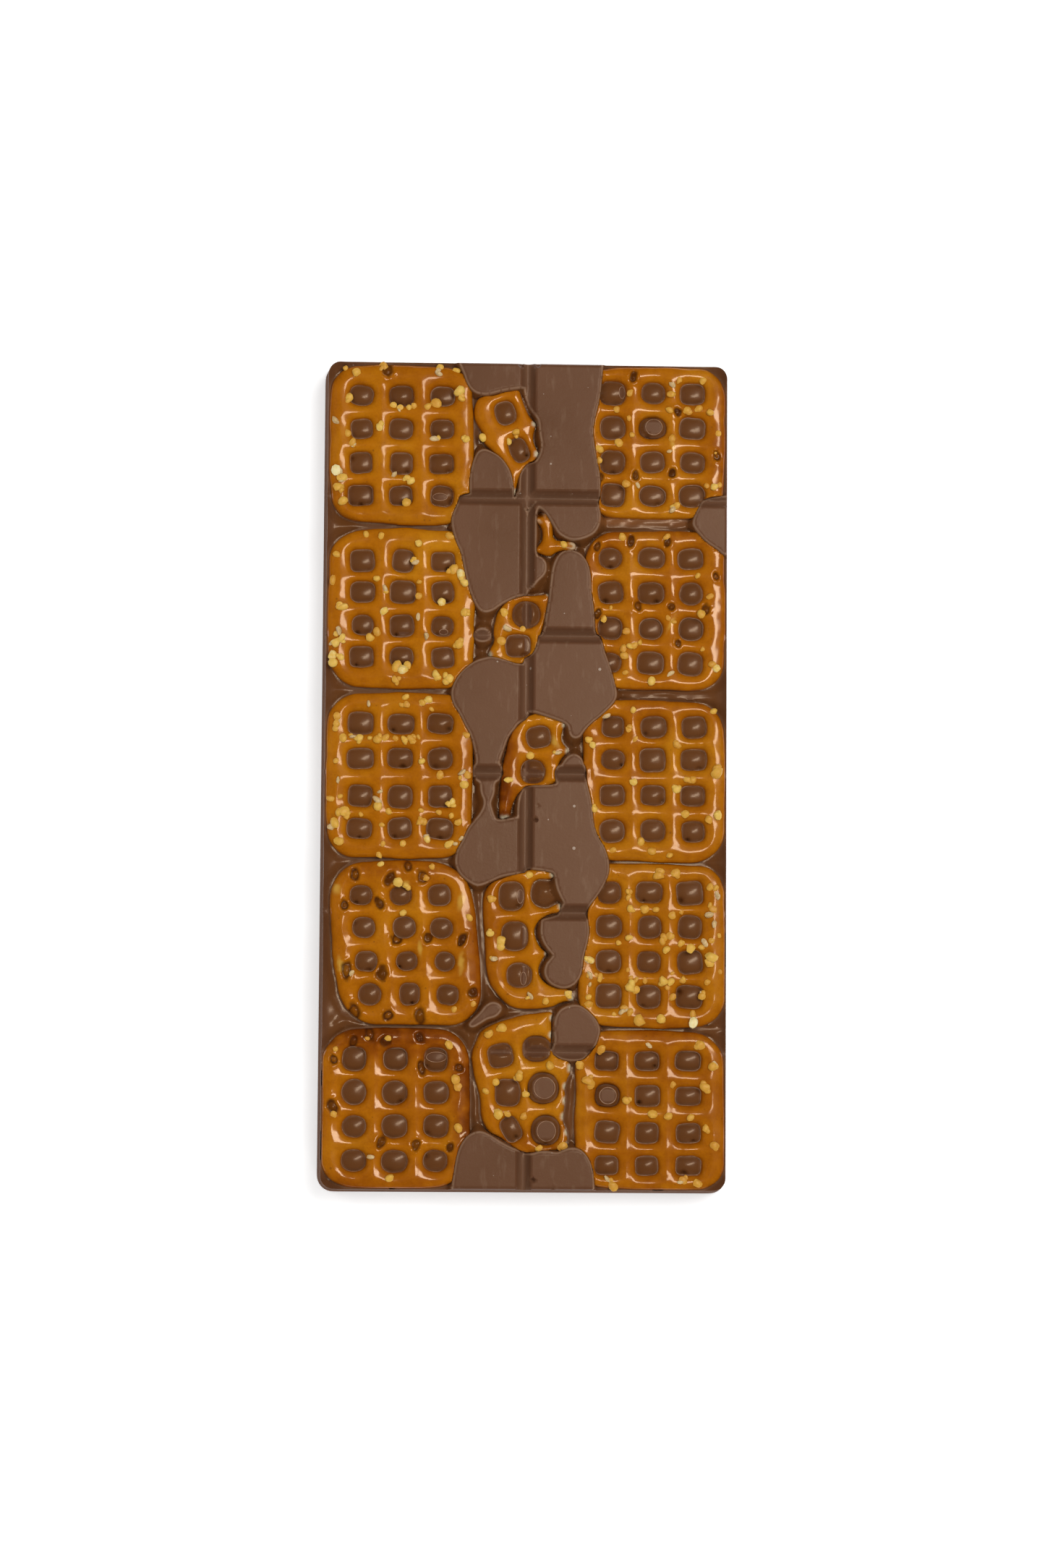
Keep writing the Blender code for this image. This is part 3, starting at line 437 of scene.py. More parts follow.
# Half of a grain's width as a share of its size, the share of grains that are clear
# crystals, and how many planes cut a clear crystal and a glazed grain
GRAIN_HALF = 0.69
CLEAR_SHARE = 0.13
CLEAR_CUTS, GLAZED_CUTS = 10, 6

# Pretzels whose grains are mostly under the glaze, as a share of the usual paleness
GLAZED_OVER = {"pretzel_right_5": 0.3, "pretzel_piece_6": 0.5, "pretzel_left_5": 0.6}

# The hollow end of the second broken piece, as x, y, size and depth
HOLLOW = (2.1, 50.6, 0.9, 2.2)

# Broken ends that show pale crumb, as x, y and reach
CRUMB = (
    (2.6, 49.4, 1.2), (8.7, -56.3, 1.1), (8.0, -59.8, 1.0), (8.0, -62.5, 1.1), (7.7, -65.5, 1.1),
    (8.4, -68.5, 1.0), (8.5, -71.0, 1.1), (5.4, -46.8, 0.9), (5.2, -50.0, 0.9),
    (2.2, 50.6, 1.6), (8.6, 44.1, 1.1), (1.2, 67.9, 0.8), (1.7, 62.0, 0.9), (-2.4, 54.4, 1.0),
    (8.2, 4.4, 1.0), (7.4, 9.4, 0.8), (-4.0, -8.9, 1.4), (9.2, -42.9, 1.2), (7.0, -25.4, 1.1),
    (5.3, -19.4, 0.9), (4.3, -34.5, 0.8), (4.3, 34.8, 0.9), (-7.2, 22.9, 0.9),
)


def smooth_ring(points, rounds=2):
    """Round a closed outline by cutting its corners, each time to a quarter of a side."""
    ring = np.array(points, float)
    for _ in range(rounds):
        after = np.roll(ring, -1, axis=0)
        cut = (0.75 * ring + 0.25 * after, 0.25 * ring + 0.75 * after)
        ring = np.stack(cut, axis=1).reshape(-1, 2)
    return ring


def ring_distance(x, y, ring):
    """Give the distance from a closed outline, below zero inside it, and FAR well outside."""
    distance = np.full(x.shape, FAR)
    low, high = ring.min(axis=0) - RING_REACH, ring.max(axis=0) + RING_REACH
    near = (x > low[0]) & (x < high[0]) & (y > low[1]) & (y < high[1])
    if not near.any():
        return distance
    px, py = x[near], y[near]
    square = np.full(px.shape, FAR ** 2)
    inside = np.zeros(px.shape, bool)
    for (ax, ay), (bx, by) in zip(ring, np.roll(ring, -1, axis=0)):
        ex, ey = bx - ax, by - ay
        along = np.clip(((px - ax) * ex + (py - ay) * ey) / (ex * ex + ey * ey), 0, 1)
        square = np.minimum(square, (px - ax - along * ex) ** 2 + (py - ay - along * ey) ** 2)
        if ey:
            inside ^= ((ay > py) != (by > py)) & (px < ax + (py - ay) * ex / ey)
    distance[near] = np.sqrt(square) * np.where(inside, -1, 1)
    return distance


def rounded_box(x, y, half_x, half_y, corner):
    """Give the distance from a rectangle with round corners, below zero inside it."""
    over_x = np.abs(x) - half_x + corner
    over_y = np.abs(y) - half_y + corner
    outside = np.hypot(np.maximum(over_x, 0), np.maximum(over_y, 0))
    return outside + np.minimum(np.maximum(over_x, over_y), 0) - corner


def turned_axes(dx, dy, turn):
    """Give steps in axes that are turned by an angle in radians."""
    return dx * math.cos(turn) + dy * math.sin(turn), dy * math.cos(turn) - dx * math.sin(turn)


def hole_place(x, y, hole):
    """Give places in a hole's own turned axes."""
    return turned_axes(x - hole.x, y - hole.y, math.radians(hole.turn))


def hole_distance(x, y, hole):
    """Give about the distance from a hole's bowed, squarish edge, below zero inside it."""
    across, along = hole_place(x, y, hole)
    half_x, half_y = hole.width / 2, hole.height / 2
    half = (half_x + half_y) / 2
    diagonal = (half - hole.corner) / half + hole.corner / (half * math.sqrt(2))
    power = math.log(2) / -math.log(diagonal)
    u, v = np.abs(across) / half_x + 1e-4, np.abs(along) / half_y + 1e-4
    reach = (u ** power + v ** power) ** (1 / power)
    slope = reach ** (1 - power) * np.hypot(u ** (power - 1) / half_x,
                                            v ** (power - 1) / half_y)
    return (reach - 1) / slope


def smaller(a, b, blend):
    """Give the smaller of two fields, rounded where they cross."""
    near = np.maximum(blend - np.abs(a - b), 0) / blend
    return np.minimum(a, b) - near * near * blend / 4


def fade(value, start, end):
    """Go smoothly from 0 at the start to 1 at the end."""
    t = np.clip((value - start) / (end - start), 0, 1)
    return t * t * (3 - 2 * t)


def bell(value, width):
    """Fall from 1 at zero to about a third one width away, and to nothing beyond."""
    return np.exp(-(value / width) ** 2)


def edge_drop(share):
    """Give the drop of a round edge, from 1 at its foot to 0 where it meets the top."""
    return 1 - np.sqrt(np.maximum(1 - (1 - share) ** 2, 0))


@functools.lru_cache(maxsize=None)
def ripple_table(seed):
    """Give the random numbers, from -1 to 1, that one ripple runs through."""
    return np.random.default_rng(seed).uniform(-1, 1, (64, 64))


def ripple(x, y, scale, seed):
    """Give smooth noise from -1 to 1, with features about one scale wide."""
    table = ripple_table(seed)
    u, v = x / scale + 31.7, y / scale + 17.3
    i, j = np.floor(u).astype(int), np.floor(v).astype(int)
    s, t = fade(u - i, 0, 1), fade(v - j, 0, 1)
    i, j = i % 63, j % 63
    low = table[i, j] * (1 - s) + table[i + 1, j] * s
    high = table[i, j + 1] * (1 - s) + table[i + 1, j + 1] * s
    return low * (1 - t) + high * t


def waffle_pretzel(waffle, seed):
    """Lay out a whole pretzel: a slightly wavy outline and twelve holes, no two alike."""
    chance = random.Random(seed)
    middle_x, middle_y = (waffle.left + waffle.right) / 2, (waffle.bottom + waffle.top) / 2
    half_x, half_y = (waffle.right - waffle.left) / 2, (waffle.top - waffle.bottom) / 2
    places = []
    for side_x, side_y, start in ((1, 1, 0), (-1, 1, 90), (-1, -1, 180), (1, -1, 270)):
        corner, flat = waffle.round * chance.uniform(0.9, 1.1), chance.uniform(*SIDE_BULGE)
        for step in range(7):
            angle = math.radians(start + 15 * step)
            places.append((side_x * (half_x - corner - flat) + corner * math.cos(angle),
                           side_y * (half_y - corner - flat) + corner * math.sin(angle)))
        turn = math.radians(start + 90)
        places.append((half_x * math.cos(turn), half_y * math.sin(turn)))
    points = [(middle_x + x + waffle.lean * y, middle_y + y) for x, y in places]
    holes = []
    for y in waffle.rows:
        for x in waffle.columns:
            tall = [top for tx, ty, top in TALL_DOMES if abs(tx - x) < 1 and abs(ty - y) < 1]
            under_ridge = abs(y - ROW_PITCH * round(y / ROW_PITCH)) < RIDGE_REACH
            low_dome = FACE - GROOVE_DEPTH - RIDGE_GAP if under_ridge else DOME
            wide, high = (side * chance.uniform(1 - HOLE_SPREAD, 1 + HOLE_SPREAD)
                          for side in waffle.hole)
            holes.append(Hole(
                x + waffle.lean * (y - middle_y) + chance.uniform(-HOLE_SHIFT, HOLE_SHIFT),
                y + chance.uniform(-HOLE_SHIFT, HOLE_SHIFT), wide, high,
                min(0.48 * high, waffle.corner * chance.uniform(0.8, 1.2)),
                chance.uniform(-HOLE_TURN, HOLE_TURN),
                tall[0] if tall else low_dome + chance.uniform(-0.1, 0.0 if under_ridge else 0.2)))
    return Pretzel(waffle.node.replace("pretzel", "waffle"), waffle.node, smooth_ring(points, 1),
                   holes, CREST + waffle.lift, waffle.baked, seed)


def broken_pretzel(broken, seed):
    """Lay out a broken piece from its outline and its holes."""
    return Pretzel(broken.node.replace("pretzel", "waffle"), broken.node,
                   smooth_ring(broken.outline, 1), [Hole(*hole) for hole in broken.holes],
                   CREST, BROKEN_BAKED.get(broken.node, PLAIN_BAKED), seed)


PRETZELS = ([waffle_pretzel(waffle, 10 + i) for i, waffle in enumerate(WAFFLES)]
            + [broken_pretzel(broken, 40 + i) for i, broken in enumerate(BROKEN)])
AREA_RINGS = [smooth_ring(area) for area in FACE_AREAS]


def area_distance(x, y):
    """Give the distance from the nearest area that reached the mould, below zero inside."""
    distance = np.full(x.shape, FAR)
    for ring in AREA_RINGS:
        distance = np.minimum(distance, ring_distance(x, y, ring))
    return distance


def mould_height(x, y):
    """Give the height of the mould's face: flat, with a ridge for every groove."""
    nearest = np.abs(x)
    for row in GROOVE_ROWS:
        nearest = np.minimum(nearest, np.abs(y - row))
    slope = (nearest - GROOVE_FLOOR_HALF) / (GROOVE_HALF - GROOVE_FLOOR_HALF)
    return FACE - GROOVE_DEPTH * (1 - np.clip(slope, 0, 1))


def crust_depth(x, y, pretzel):
    """Give how far a place lies inside a pretzel's ropes, and below zero outside them."""
    sway = 0.22 * ripple(x, y, 5.0, pretzel.seed) + 0.08 * ripple(x, y, 1.7, pretzel.seed + 1)
    depth = -ring_distance(x, y, pretzel.ring) + sway
    for hole in pretzel.holes:
        near = (np.abs(x - hole.x) < 5.5) & (np.abs(y - hole.y) < 5.5)
        px, py = x[near], y[near]
        edge = hole_distance(px, py, hole) + 0.06 * ripple(px, py, 1.1, pretzel.seed + 2)
        depth[near] = smaller(depth[near], edge, 0.9)
    return depth


def toasting(x, y):
    """Give the depth of the burst blisters, and how toasted each place is."""
    pit, toast = np.zeros(x.shape), np.zeros(x.shape)
    chance = random.Random(77)
    wobble = 1 + 0.22 * ripple(x, y, 0.8, 30)
    for tx, ty in TOASTED:
        half_x = chance.uniform(0.65, 0.95) if tx < 0 else chance.uniform(0.5, 0.7)
        half_y = half_x * chance.uniform(1.1, 1.7)
        u, v = turned_axes(x - tx, y - ty, chance.uniform(-0.5, 0.5))
        away = np.hypot(u / half_x, v / half_y) * wobble
        trench = bell(away - 0.8, 0.36)
        pit += 0.4 * trench + 0.12 * bell(away, 0.5)
        pit -= 0.14 * bell(away - 1.55, 0.3)
        middle = chance.uniform(0.5, 1.0) * (away < 0.8)
        toast = np.maximum(toast, np.maximum(trench, middle) * chance.uniform(0.85, 1.0))
    return pit, toast


def crust_top(x, y, pretzel, depth):
    """Give the height of a pretzel's upper skin, steep beside its edges."""
    hollow_x, hollow_y, size, drop = HOLLOW
    hollow = drop * np.exp(-((x - hollow_x) ** 2 + (y - hollow_y) ** 2) / size ** 2)
    crown = ROPE_DROP * edge_drop(np.clip(depth / ROPE_HALF, 0, 1))
    wave = 0.12 * ripple(x, y, 4.6, pretzel.seed + 3) + 0.02 * ripple(x, y, 1.6, pretzel.seed + 4)
    crossing = CROSSING_RISE * fade(depth, 1.15, 2.4)
    top = pretzel.crest + wave + crossing - crown
    beside = bell(np.maximum(area_distance(x, y), 0), 0.6)
    top = top + ISLAND_LIFT * beside * (FACE - 0.3 - top) + 4.0 * np.minimum(depth, 0)
    return np.minimum(top - toasting(x, y)[0] - hollow, FACE - 0.12)


def nearest_lines(x, y):
    """Give each place's distance from the lines that mesh corners are drawn onto."""
    area = area_distance(x, y)
    best = area - EDGE_LINES[0]
    for offset in EDGE_LINES[1:]:
        best = np.where(np.abs(area - offset) < np.abs(best), area - offset, best)
    for hole in itertools.chain.from_iterable(pretzel.holes for pretzel in PRETZELS):
        near = (np.abs(x - hole.x) < 3.6) & (np.abs(y - hole.y) < 3.6)
        edge = hole_distance(x[near], y[near], hole)
        best[near] = np.where(np.abs(edge) < np.abs(best[near]), edge, best[near])
    return best


def draw_onto_lines(x, y):
    """Move the corners that lie close to an edge line onto it, so that edges run clean."""
    step = 0.02
    for reach in (0.48, 0.3):
        away = nearest_lines(x, y)
        slope_x = (nearest_lines(x + step, y) - away) / step
        slope_y = (nearest_lines(x, y + step) - away) / step
        steep = slope_x ** 2 + slope_y ** 2
        close = (np.abs(away) < reach * CELL) & (steep > 0.5) & (steep < 2)
        pull = np.where(close, away / np.maximum(steep, 0.5), 0)
        x, y = x - pull * slope_x, y - pull * slope_y
    return x, y


def flow_height(x, y, gap_to_crust, gap_to_area, from_wall):
    """Give the height of the flowed chocolate, which swells where it had room."""
    swell = 0.95 * fade(gap_to_crust, 0.0, 2.2) * fade(gap_to_area, 0.2, 2.0)
    waves = 0.3 * ripple(x, y, 4.5, 5) + 0.17 * ripple(x, y, 1.7, 6)
    lip = 0.12 * np.exp(-gap_to_crust / 0.3)
    dip = 0.25 * np.exp(-gap_to_area / 0.6) * fade(gap_to_crust, 0.0, 0.3)
    wall = 1.0 * np.exp(-np.maximum(from_wall, 0) / 0.7)
    return CONTACT + swell + waves * fade(gap_to_crust, 0.1, 1.5) + lip - dip + wall


def filled(x, y):
    """Give how far the filled gaps rise, how level they are, and how stained."""
    rise, level, stain = np.zeros(x.shape), np.zeros(x.shape), np.zeros(x.shape)
    for fx, fy, half_x, half_y, lift, glaze in FILLED:
        within = 1 - fade(np.hypot(((x - fx) / half_x) ** 2, ((y - fy) / half_y) ** 2), 0.6, 1.1)
        rise, level = rise + lift * within, np.maximum(level, within)
        streaky = np.clip(0.7 + 0.5 * ripple(x / 2, y, 1.2, 71) - 0.06 * (x - fx), 0, 1)
        streaky = streaky * fade(y, fy - 1.0, fy + 0.2)
        stain = np.maximum(stain, glaze * within * streaky)
    return rise, level, stain


def dome_height(x, y, hole):
    """Give the dome that rose through a hole, squarish at its foot and round on top."""
    across, along = hole_place(x, y, hole)
    wide, tall = hole.width / 2 + 0.1, hole.height / 2 + 0.1
    out = (np.abs(across / wide) ** 2.6 + np.abs(along / tall) ** 2.6) ** (2 / 2.6)
    pulled = 0.018 * ripple(x, y, 2.0, int(abs(hole.x * 7 + hole.y * 3)))
    foot = min(DOME_FOOT, hole.dome - 0.55)
    return foot + (hole.dome - foot) * np.maximum(1 - out, 0) ** 0.8 + pulled


def notches():
    """Pick small pits where the chocolate didn't fill a hole's edge."""
    chance = random.Random(5)
    pits = []
    for pretzel in PRETZELS:
        for hole in pretzel.holes:
            if chance.random() < NOTCH_SHARE:
                angle = chance.choice((-35, -50, -60, -75, -90, -120, -140, 150))
                reach = 0.9 * min(hole.width, hole.height) / 2
                pits.append((hole.x + 1.12 * reach * math.cos(math.radians(angle)),
                             hole.y + reach * math.sin(math.radians(angle)),
                             chance.uniform(0.3, 0.55), chance.uniform(0.6, 1.4)))
    return pits


def around_pretzels(x, y):
    """Give the gap to the nearest crust, what lies well inside one, and the domes' heights."""
    gap = np.full(x.shape, FAR)
    inside_crust = np.zeros(x.shape, bool)
    domes = np.full(x.shape, -FAR)
    for pretzel in PRETZELS:
        near = ring_distance(x, y, pretzel.ring) < 3.5
        px, py = x[near], y[near]
        depth = crust_depth(px, py, pretzel)
        part = np.full(px.shape, -FAR)
        for hole in pretzel.holes:
            within = hole_distance(px, py, hole) < 0.5
            part = np.where(within, dome_height(px, py, hole), part)
        domes[near] = np.maximum(domes[near], part)
        gap[near] = np.minimum(gap[near], np.maximum(-depth, 0))
        inside_crust[near] |= depth > POCKET_INSET
    return gap, inside_crust, domes


def flowed_face(x, y, flow, gap, domes, mould, outside):
    """Add the domes, their notches and the shoulders beside the flat areas to the flow."""
    flow = np.where(domes > 0, domes, flow)
    for px, py, size, depth in notches():
        flow = flow - depth * np.exp(-((x - px) ** 2 + (y - py) ** 2) / size ** 2)
    steep = SHOULDER_SLOPE + 3.0 * np.exp(-gap / 0.4)
    flow = np.where(domes > 0, flow, np.maximum(flow, mould - 0.05 - steep * outside))
    return np.minimum(flow, mould - 0.02)


def pressed_face(x, y, mould, area):
    """Give the height of the areas that reached the mould, with their open bubbles."""
    plateau = mould - 0.16 * edge_drop(np.clip(-area / 0.3, 0, 1))
    plateau -= 0.02 * (1 + ripple(x, y, 7.0, 9))
    for bx, by, size in BUBBLES:
        away = np.hypot(x - bx, y - by) / size
        plateau = plateau - 0.9 * np.sqrt(np.maximum(1 - away ** 2, 0)) * size / 0.5
    return plateau


def chocolate_face(x, y):
    """Give the tablet's height, how satin each place is, where it is painted lighter, and how
    stained it is.
    """
    mould = mould_height(x, y)
    area = area_distance(x, y)
    outside = np.maximum(area, 0)
    from_wall = -rounded_box(x, y, HALF_X, HALF_Y, CORNER - DRAFT)
    gap, inside_crust, domes = around_pretzels(x, y)
    rise, level, stain = filled(x, y)
    flow = flow_height(x, y, gap, outside, from_wall) * (1 - level) + level * (
        CONTACT + 0.16 * ripple(x / 2, y, 1.1, 72)) + rise
    flow = flowed_face(x, y, flow, gap, domes, mould, outside)
    pressed = fade(flow - mould, -0.12, -0.03)
    for lx, ly, half_x, half_y in LENSES:
        within = 1 - fade(np.hypot((x - lx) / half_x, (y - ly) / half_y), 0.8, 1.1)
        flow = flow + 0.08 * within
        pressed = np.maximum(pressed, within)
    plateau = pressed_face(x, y, mould, area)
    wall = fade(area, 0.0, 0.34)
    height = plateau * (1 - wall) + np.minimum(flow, plateau) * wall
    height = np.where(inside_crust & (area > POCKET_FROM_AREA), FOOT - 0.05, height)
    height = np.minimum(height, FACE - RIM * edge_drop(np.clip(from_wall / RIM, 0, 1)))
    satin = np.maximum.reduce((1 - fade(area, -0.1, 0.25), pressed, 0.1 * level,
                               0.7 * bell(np.maximum(from_wall, 0), 1.2)))
    # A painted highlight on the chocolate along the crust, where its thin edge would catch light
    painted_highlight_by_crust = bell(gap, 0.25) * fade(area, 0.2, 0.6) * np.where(domes > 0, 0.5, 0.3)
    # Painted light in the grooves, set against the shade that falls in them
    painted_light_in_grooves = 0.17 * fade(FACE - mould, 0.3, 1.5) * (area < 0)
    # Lighter colour: the painted highlight by the crust, the painted light in the grooves, and a
    # paler line along the flat areas' edges
    light = np.maximum.reduce((painted_highlight_by_crust, bell(area, 0.15), painted_light_in_grooves))
    return height, satin, light, stain * (1 - fade(-area, 0, 0.2))


def lip_edge(pretzel, hole):
    """Find where the chocolate meets the crust all round a hole."""
    reach = np.arange(0.35 * hole.height, 0.8 * hole.width, 0.03)
    x = hole.x + reach[None, :] * ALL_ROUND[:, :1]
    y = hole.y + reach[None, :] * ALL_ROUND[:, 1:]
    met = crust_depth(x, y, pretzel) > -0.5 * LIP_HALF
    edge = reach[np.argmax(met, axis=1)]
    places = np.array((hole.x, hole.y)) + edge[:, None] * ALL_ROUND
    there = met.any(axis=1) & (area_distance(places[:, 0], places[:, 1]) > 0.4)
    there &= np.abs(edge - np.roll(edge, -1)) < 0.5
    return places, ALL_ROUND, there


def lens_edge(lens):
    """Give the outline of a flat oval that touched the mould, and its outward directions."""
    x, y, half_x, half_y = lens
    out = ALL_ROUND / (half_x, half_y)
    return (np.array((x, y)) + ALL_ROUND * (half_x, half_y),
            out / np.linalg.norm(out, axis=1)[:, None], np.ones(LIP_STEPS, bool))


def lip_tube(places, out, heights, there):
    """Run a thin closed bead along a closed line, with a gap where it isn't there."""
    section = ((-1.0, -0.25), (-0.5, -0.03), (0.0, 0.0), (0.5, -0.03), (1.0, -0.25))
    sides = len(section)
    corners = [(x + ox * side * LIP_HALF, y + oy * side * LIP_HALF, z + drop)
               for (x, y), (ox, oy), z in zip(places, out, heights) for side, drop in section]
    faces = []
    for i in np.nonzero(there)[0]:
        j = (i + 1) % LIP_STEPS
        for k in range(sides):
            m = (k + 1) % sides
            faces.append((i * sides + k, j * sides + k, j * sides + m, i * sides + m))
        if not there[i - 1]:
            faces.append(tuple(i * sides + k for k in range(sides)))
        if not there[j]:
            faces.append(tuple(j * sides + k for k in reversed(range(sides))))
    return corners, faces


def hole_lips():
    """Make the thin lip that the chocolate left along every hole and flat oval; its pale colour is a
    painted highlight.
    """
    tubes = []
    for pretzel in PRETZELS:
        for hole in pretzel.holes:
            places, out, there = lip_edge(pretzel, hole)
            wave = 0.07 * ripple(places[:, 0], places[:, 1], 1.5, 83)
            tubes.append(lip_tube(places, out, LIP_TOP + wave, there))
    for lens in LENSES:
        places, out, there = lens_edge(lens)
        heights = chocolate_face(places[:, 0], places[:, 1])[0] + 0.05
        tubes.append(lip_tube(places, out, heights, there))
    corners, faces = [], []
    for tube_corners, tube_faces in tubes:
        used = sorted({n for face in tube_faces for n in face})
        number = {old: new + len(corners) for new, old in enumerate(used)}
        corners += [tube_corners[n] for n in used]
        faces += [tuple(number[n] for n in face) for face in tube_faces]
    return new_piece("hole_lips", corners, faces, LIP_SHARP)


def graded(half, marks):
    """Give evenly spaced lines from one side to the other that also pass through the marks."""
    stops = sorted({-half, half, *(mark for mark in marks if abs(mark) < half)})
    lines = [stops[0]]
    for start, end in zip(stops, stops[1:]):
        count = max(1, round((end - start) / CELL))
        lines += list(np.linspace(start, end, count + 1)[1:])
    return np.array(lines)


def groove_marks(middle):
    """Give the lines where one groove's floor and slopes begin and end."""
    return [middle + side for side in (-GROOVE_HALF, -GROOVE_FLOOR_HALF,
                                       GROOVE_FLOOR_HALF, GROOVE_HALF)]


def round_corners(x, y, half_x, half_y, corner):
    """Bend a rectangular grid so that its outermost lines follow round corners."""
    u = np.maximum(np.abs(x) - half_x + corner, 0)
    v = np.maximum(np.abs(y) - half_y + corner, 0)
    both = (u > 0) & (v > 0)
    most = np.maximum(u, v)
    length = np.where(both, np.hypot(u, v), 1)
    scale = np.where(both, most / length, 1)
    return (np.where(both, np.sign(x) * (half_x - corner + u * scale), x),
            np.where(both, np.sign(y) * (half_y - corner + v * scale), y))


def add_object(name, data):
    """Put new data into the scene as an object."""
    item = bpy.data.objects.new(name, data)
    bpy.context.scene.collection.objects.link(item)
    return item


def smooth_all_but_sharp(data, sharp):
    """Shade a mesh smoothly, apart from its edges that bend by more than an angle."""
    data.shade_smooth()
    data.set_sharp_from_angle(angle=math.radians(sharp))


def new_piece(name, corners, faces, sharp, values=None):
    """Make a mesh object in metres from corners in millimetres, with named corner values."""
    data = bpy.data.meshes.new(name)
    data.from_pydata((np.asarray(corners, float) * MM).tolist(), [], faces)
    for key, numbers in (values or {}).items():
        layer = data.attributes.new(key, "FLOAT", "POINT")
        layer.data.foreach_set("value", np.asarray(numbers, np.float32))
    data.validate()
    smooth_all_but_sharp(data, sharp)
    return add_object(name, data)


def face_grid():
    """Lay out the face's corners along the grooves, the round corners and the edge lines."""
    marks = [mark for row in GROOVE_ROWS for mark in groove_marks(row)]
    x, y = np.meshgrid(graded(HALF_X, groove_marks(0)), graded(HALF_Y, marks), indexing="ij")
    x, y = round_corners(x, y, HALF_X, HALF_Y, CORNER - DRAFT)
    moved_x, moved_y = draw_onto_lines(x, y)
    x[1:-1, 1:-1], y[1:-1, 1:-1] = moved_x[1:-1, 1:-1], moved_y[1:-1, 1:-1]
    return x, y


def grid_faces(number, height):
    """Split each square of the face along its flatter diagonal, without the pockets' floors."""
    faces = []
    low = height < FOOT + 0.2
    for i, j in itertools.product(*(range(count - 1) for count in number.shape)):
        if low[i, j] and low[i + 1, j] and low[i, j + 1] and low[i + 1, j + 1]:
            continue
        a, b, c, d = number[i, j], number[i + 1, j], number[i + 1, j + 1], number[i, j + 1]
        if abs(height[i, j] - height[i + 1, j + 1]) < abs(height[i + 1, j] - height[i, j + 1]):
            faces += [(a, b, c), (a, c, d)]
        else:
            faces += [(a, b, d), (b, c, d)]
    return faces


def tablet_piece():
    """Make the tablet: its face, its tapered walls, and its flat back."""
    x, y = face_grid()
    height, satin, light, stain = chocolate_face(x, y)
    number = np.arange(x.size).reshape(x.shape)
    border = np.concatenate((number[:, 0], number[-1, 1:], number[-2::-1, -1],
                             number[0, -2:0:-1]))
    corners = np.stack((x, y, height), axis=-1).reshape(-1, 3)
    edge = corners[border]
    lean = edge[:, :2] - np.clip(edge[:, :2], (CORNER - HALF_X, CORNER - HALF_Y),
                                 (HALF_X - CORNER, HALF_Y - CORNER))
    lean /= np.linalg.norm(lean, axis=1)[:, None]
    corners[border, :2] += lean * (DRAFT * (1 - edge[:, 2:] / FACE))
    top = corners[border]
    layers, rows = [corners], [border]
    for step, level in enumerate(WALL_LEVELS):
        z = top[:, 2:] * level
        swell = DRAFT * (top[:, 2:] - z) / FACE - (0 if level else BACK_TUCK)
        layers.append(np.hstack((top[:, :2] + lean * swell, z)))
        rows.append(np.arange(len(border)) + x.size + step * len(border))

    values = {}
    for key, on_face, on_wall in (("satin", satin, WALL_SATIN), ("pale_edges_and_painted_light", light, 0),
                                  ("stain", stain, 0), ("side_wall", np.zeros(x.size), 1)):
        values[key] = np.append(on_face, [on_wall] * (len(WALL_LEVELS) * len(border)))
    faces = grid_faces(number, height)
    for upper, lower in zip(rows, rows[1:]):
        for i in range(len(border)):
            faces.append((upper[i - 1], lower[i - 1], lower[i], upper[i]))
    item = new_piece("chocolate_tablet", np.concatenate(layers), faces, TABLET_SHARP, values)
    close_openings(item)
    return item


def close_openings(item):
    """Fill the floors under the pretzels and the back, and drop corners that nothing uses."""
    mesh = bmesh.new()
    mesh.from_mesh(item.data)
    loose = [vert for vert in mesh.verts if not vert.link_faces]
    bmesh.ops.delete(mesh, geom=loose, context="VERTS")
    for low, high in ((-0.1, 0.1), (FOOT - 0.3, FOOT + 0.2)):
        rim = [edge for edge in mesh.edges if edge.is_boundary
               and all(low * MM < vert.co.z < high * MM for vert in edge.verts)]
        bmesh.ops.triangle_fill(mesh, use_beauty=False, edges=rim)
    bmesh.ops.recalc_face_normals(mesh, faces=mesh.faces)
    mesh.to_mesh(item.data)
    mesh.free()
    smooth_all_but_sharp(item.data, TABLET_SHARP)


def skin(field, axes):
    """Wrap the space where a field is below zero in four-sided faces."""
    cells = tuple(size - 1 for size in field.shape)
    total, count = np.zeros((*cells, 3)), np.zeros(cells)
    index = np.indices(cells)
    for axis in range(3):
        for offset in itertools.product((0, 1), repeat=3):
            if offset[axis]:
                continue
            other = tuple(1 if k == axis else step for k, step in enumerate(offset))
            start = field[tuple(slice(o, o + n) for o, n in zip(offset, cells))]
            end = field[tuple(slice(o, o + n) for o, n in zip(other, cells))]
            cut = (start < 0) != (end < 0)
            share = start[cut] / (start[cut] - end[cut])
            for k in range(3):
                first = axes[k][index[k][cut] + offset[k]]
                second = axes[k][index[k][cut] + other[k]]
                total[cut, k] += first + share * (second - first)
            count[cut] += 1
    mixed = count > 0
    number = np.full(cells, -1)
    number[mixed] = np.arange(mixed.sum())
    faces = []
    for axis in range(3):
        order = (axis, (axis + 1) % 3, (axis + 2) % 3)
        inside = np.moveaxis(field < 0, order, (0, 1, 2))
        cell = np.moveaxis(number, order, (0, 1, 2))
        start, end = inside[:-1, 1:-1, 1:-1], inside[1:, 1:-1, 1:-1]
        for outward, crossing in ((True, start & ~end), (False, ~start & end)):
            i, j, k = np.nonzero(crossing)
            quad = np.stack((cell[i, j, k], cell[i, j + 1, k],
                             cell[i, j + 1, k + 1], cell[i, j, k + 1]), axis=1)
            faces.append(quad if outward else quad[:, ::-1])
    return total[mixed] / count[mixed][:, None], np.concatenate(faces)


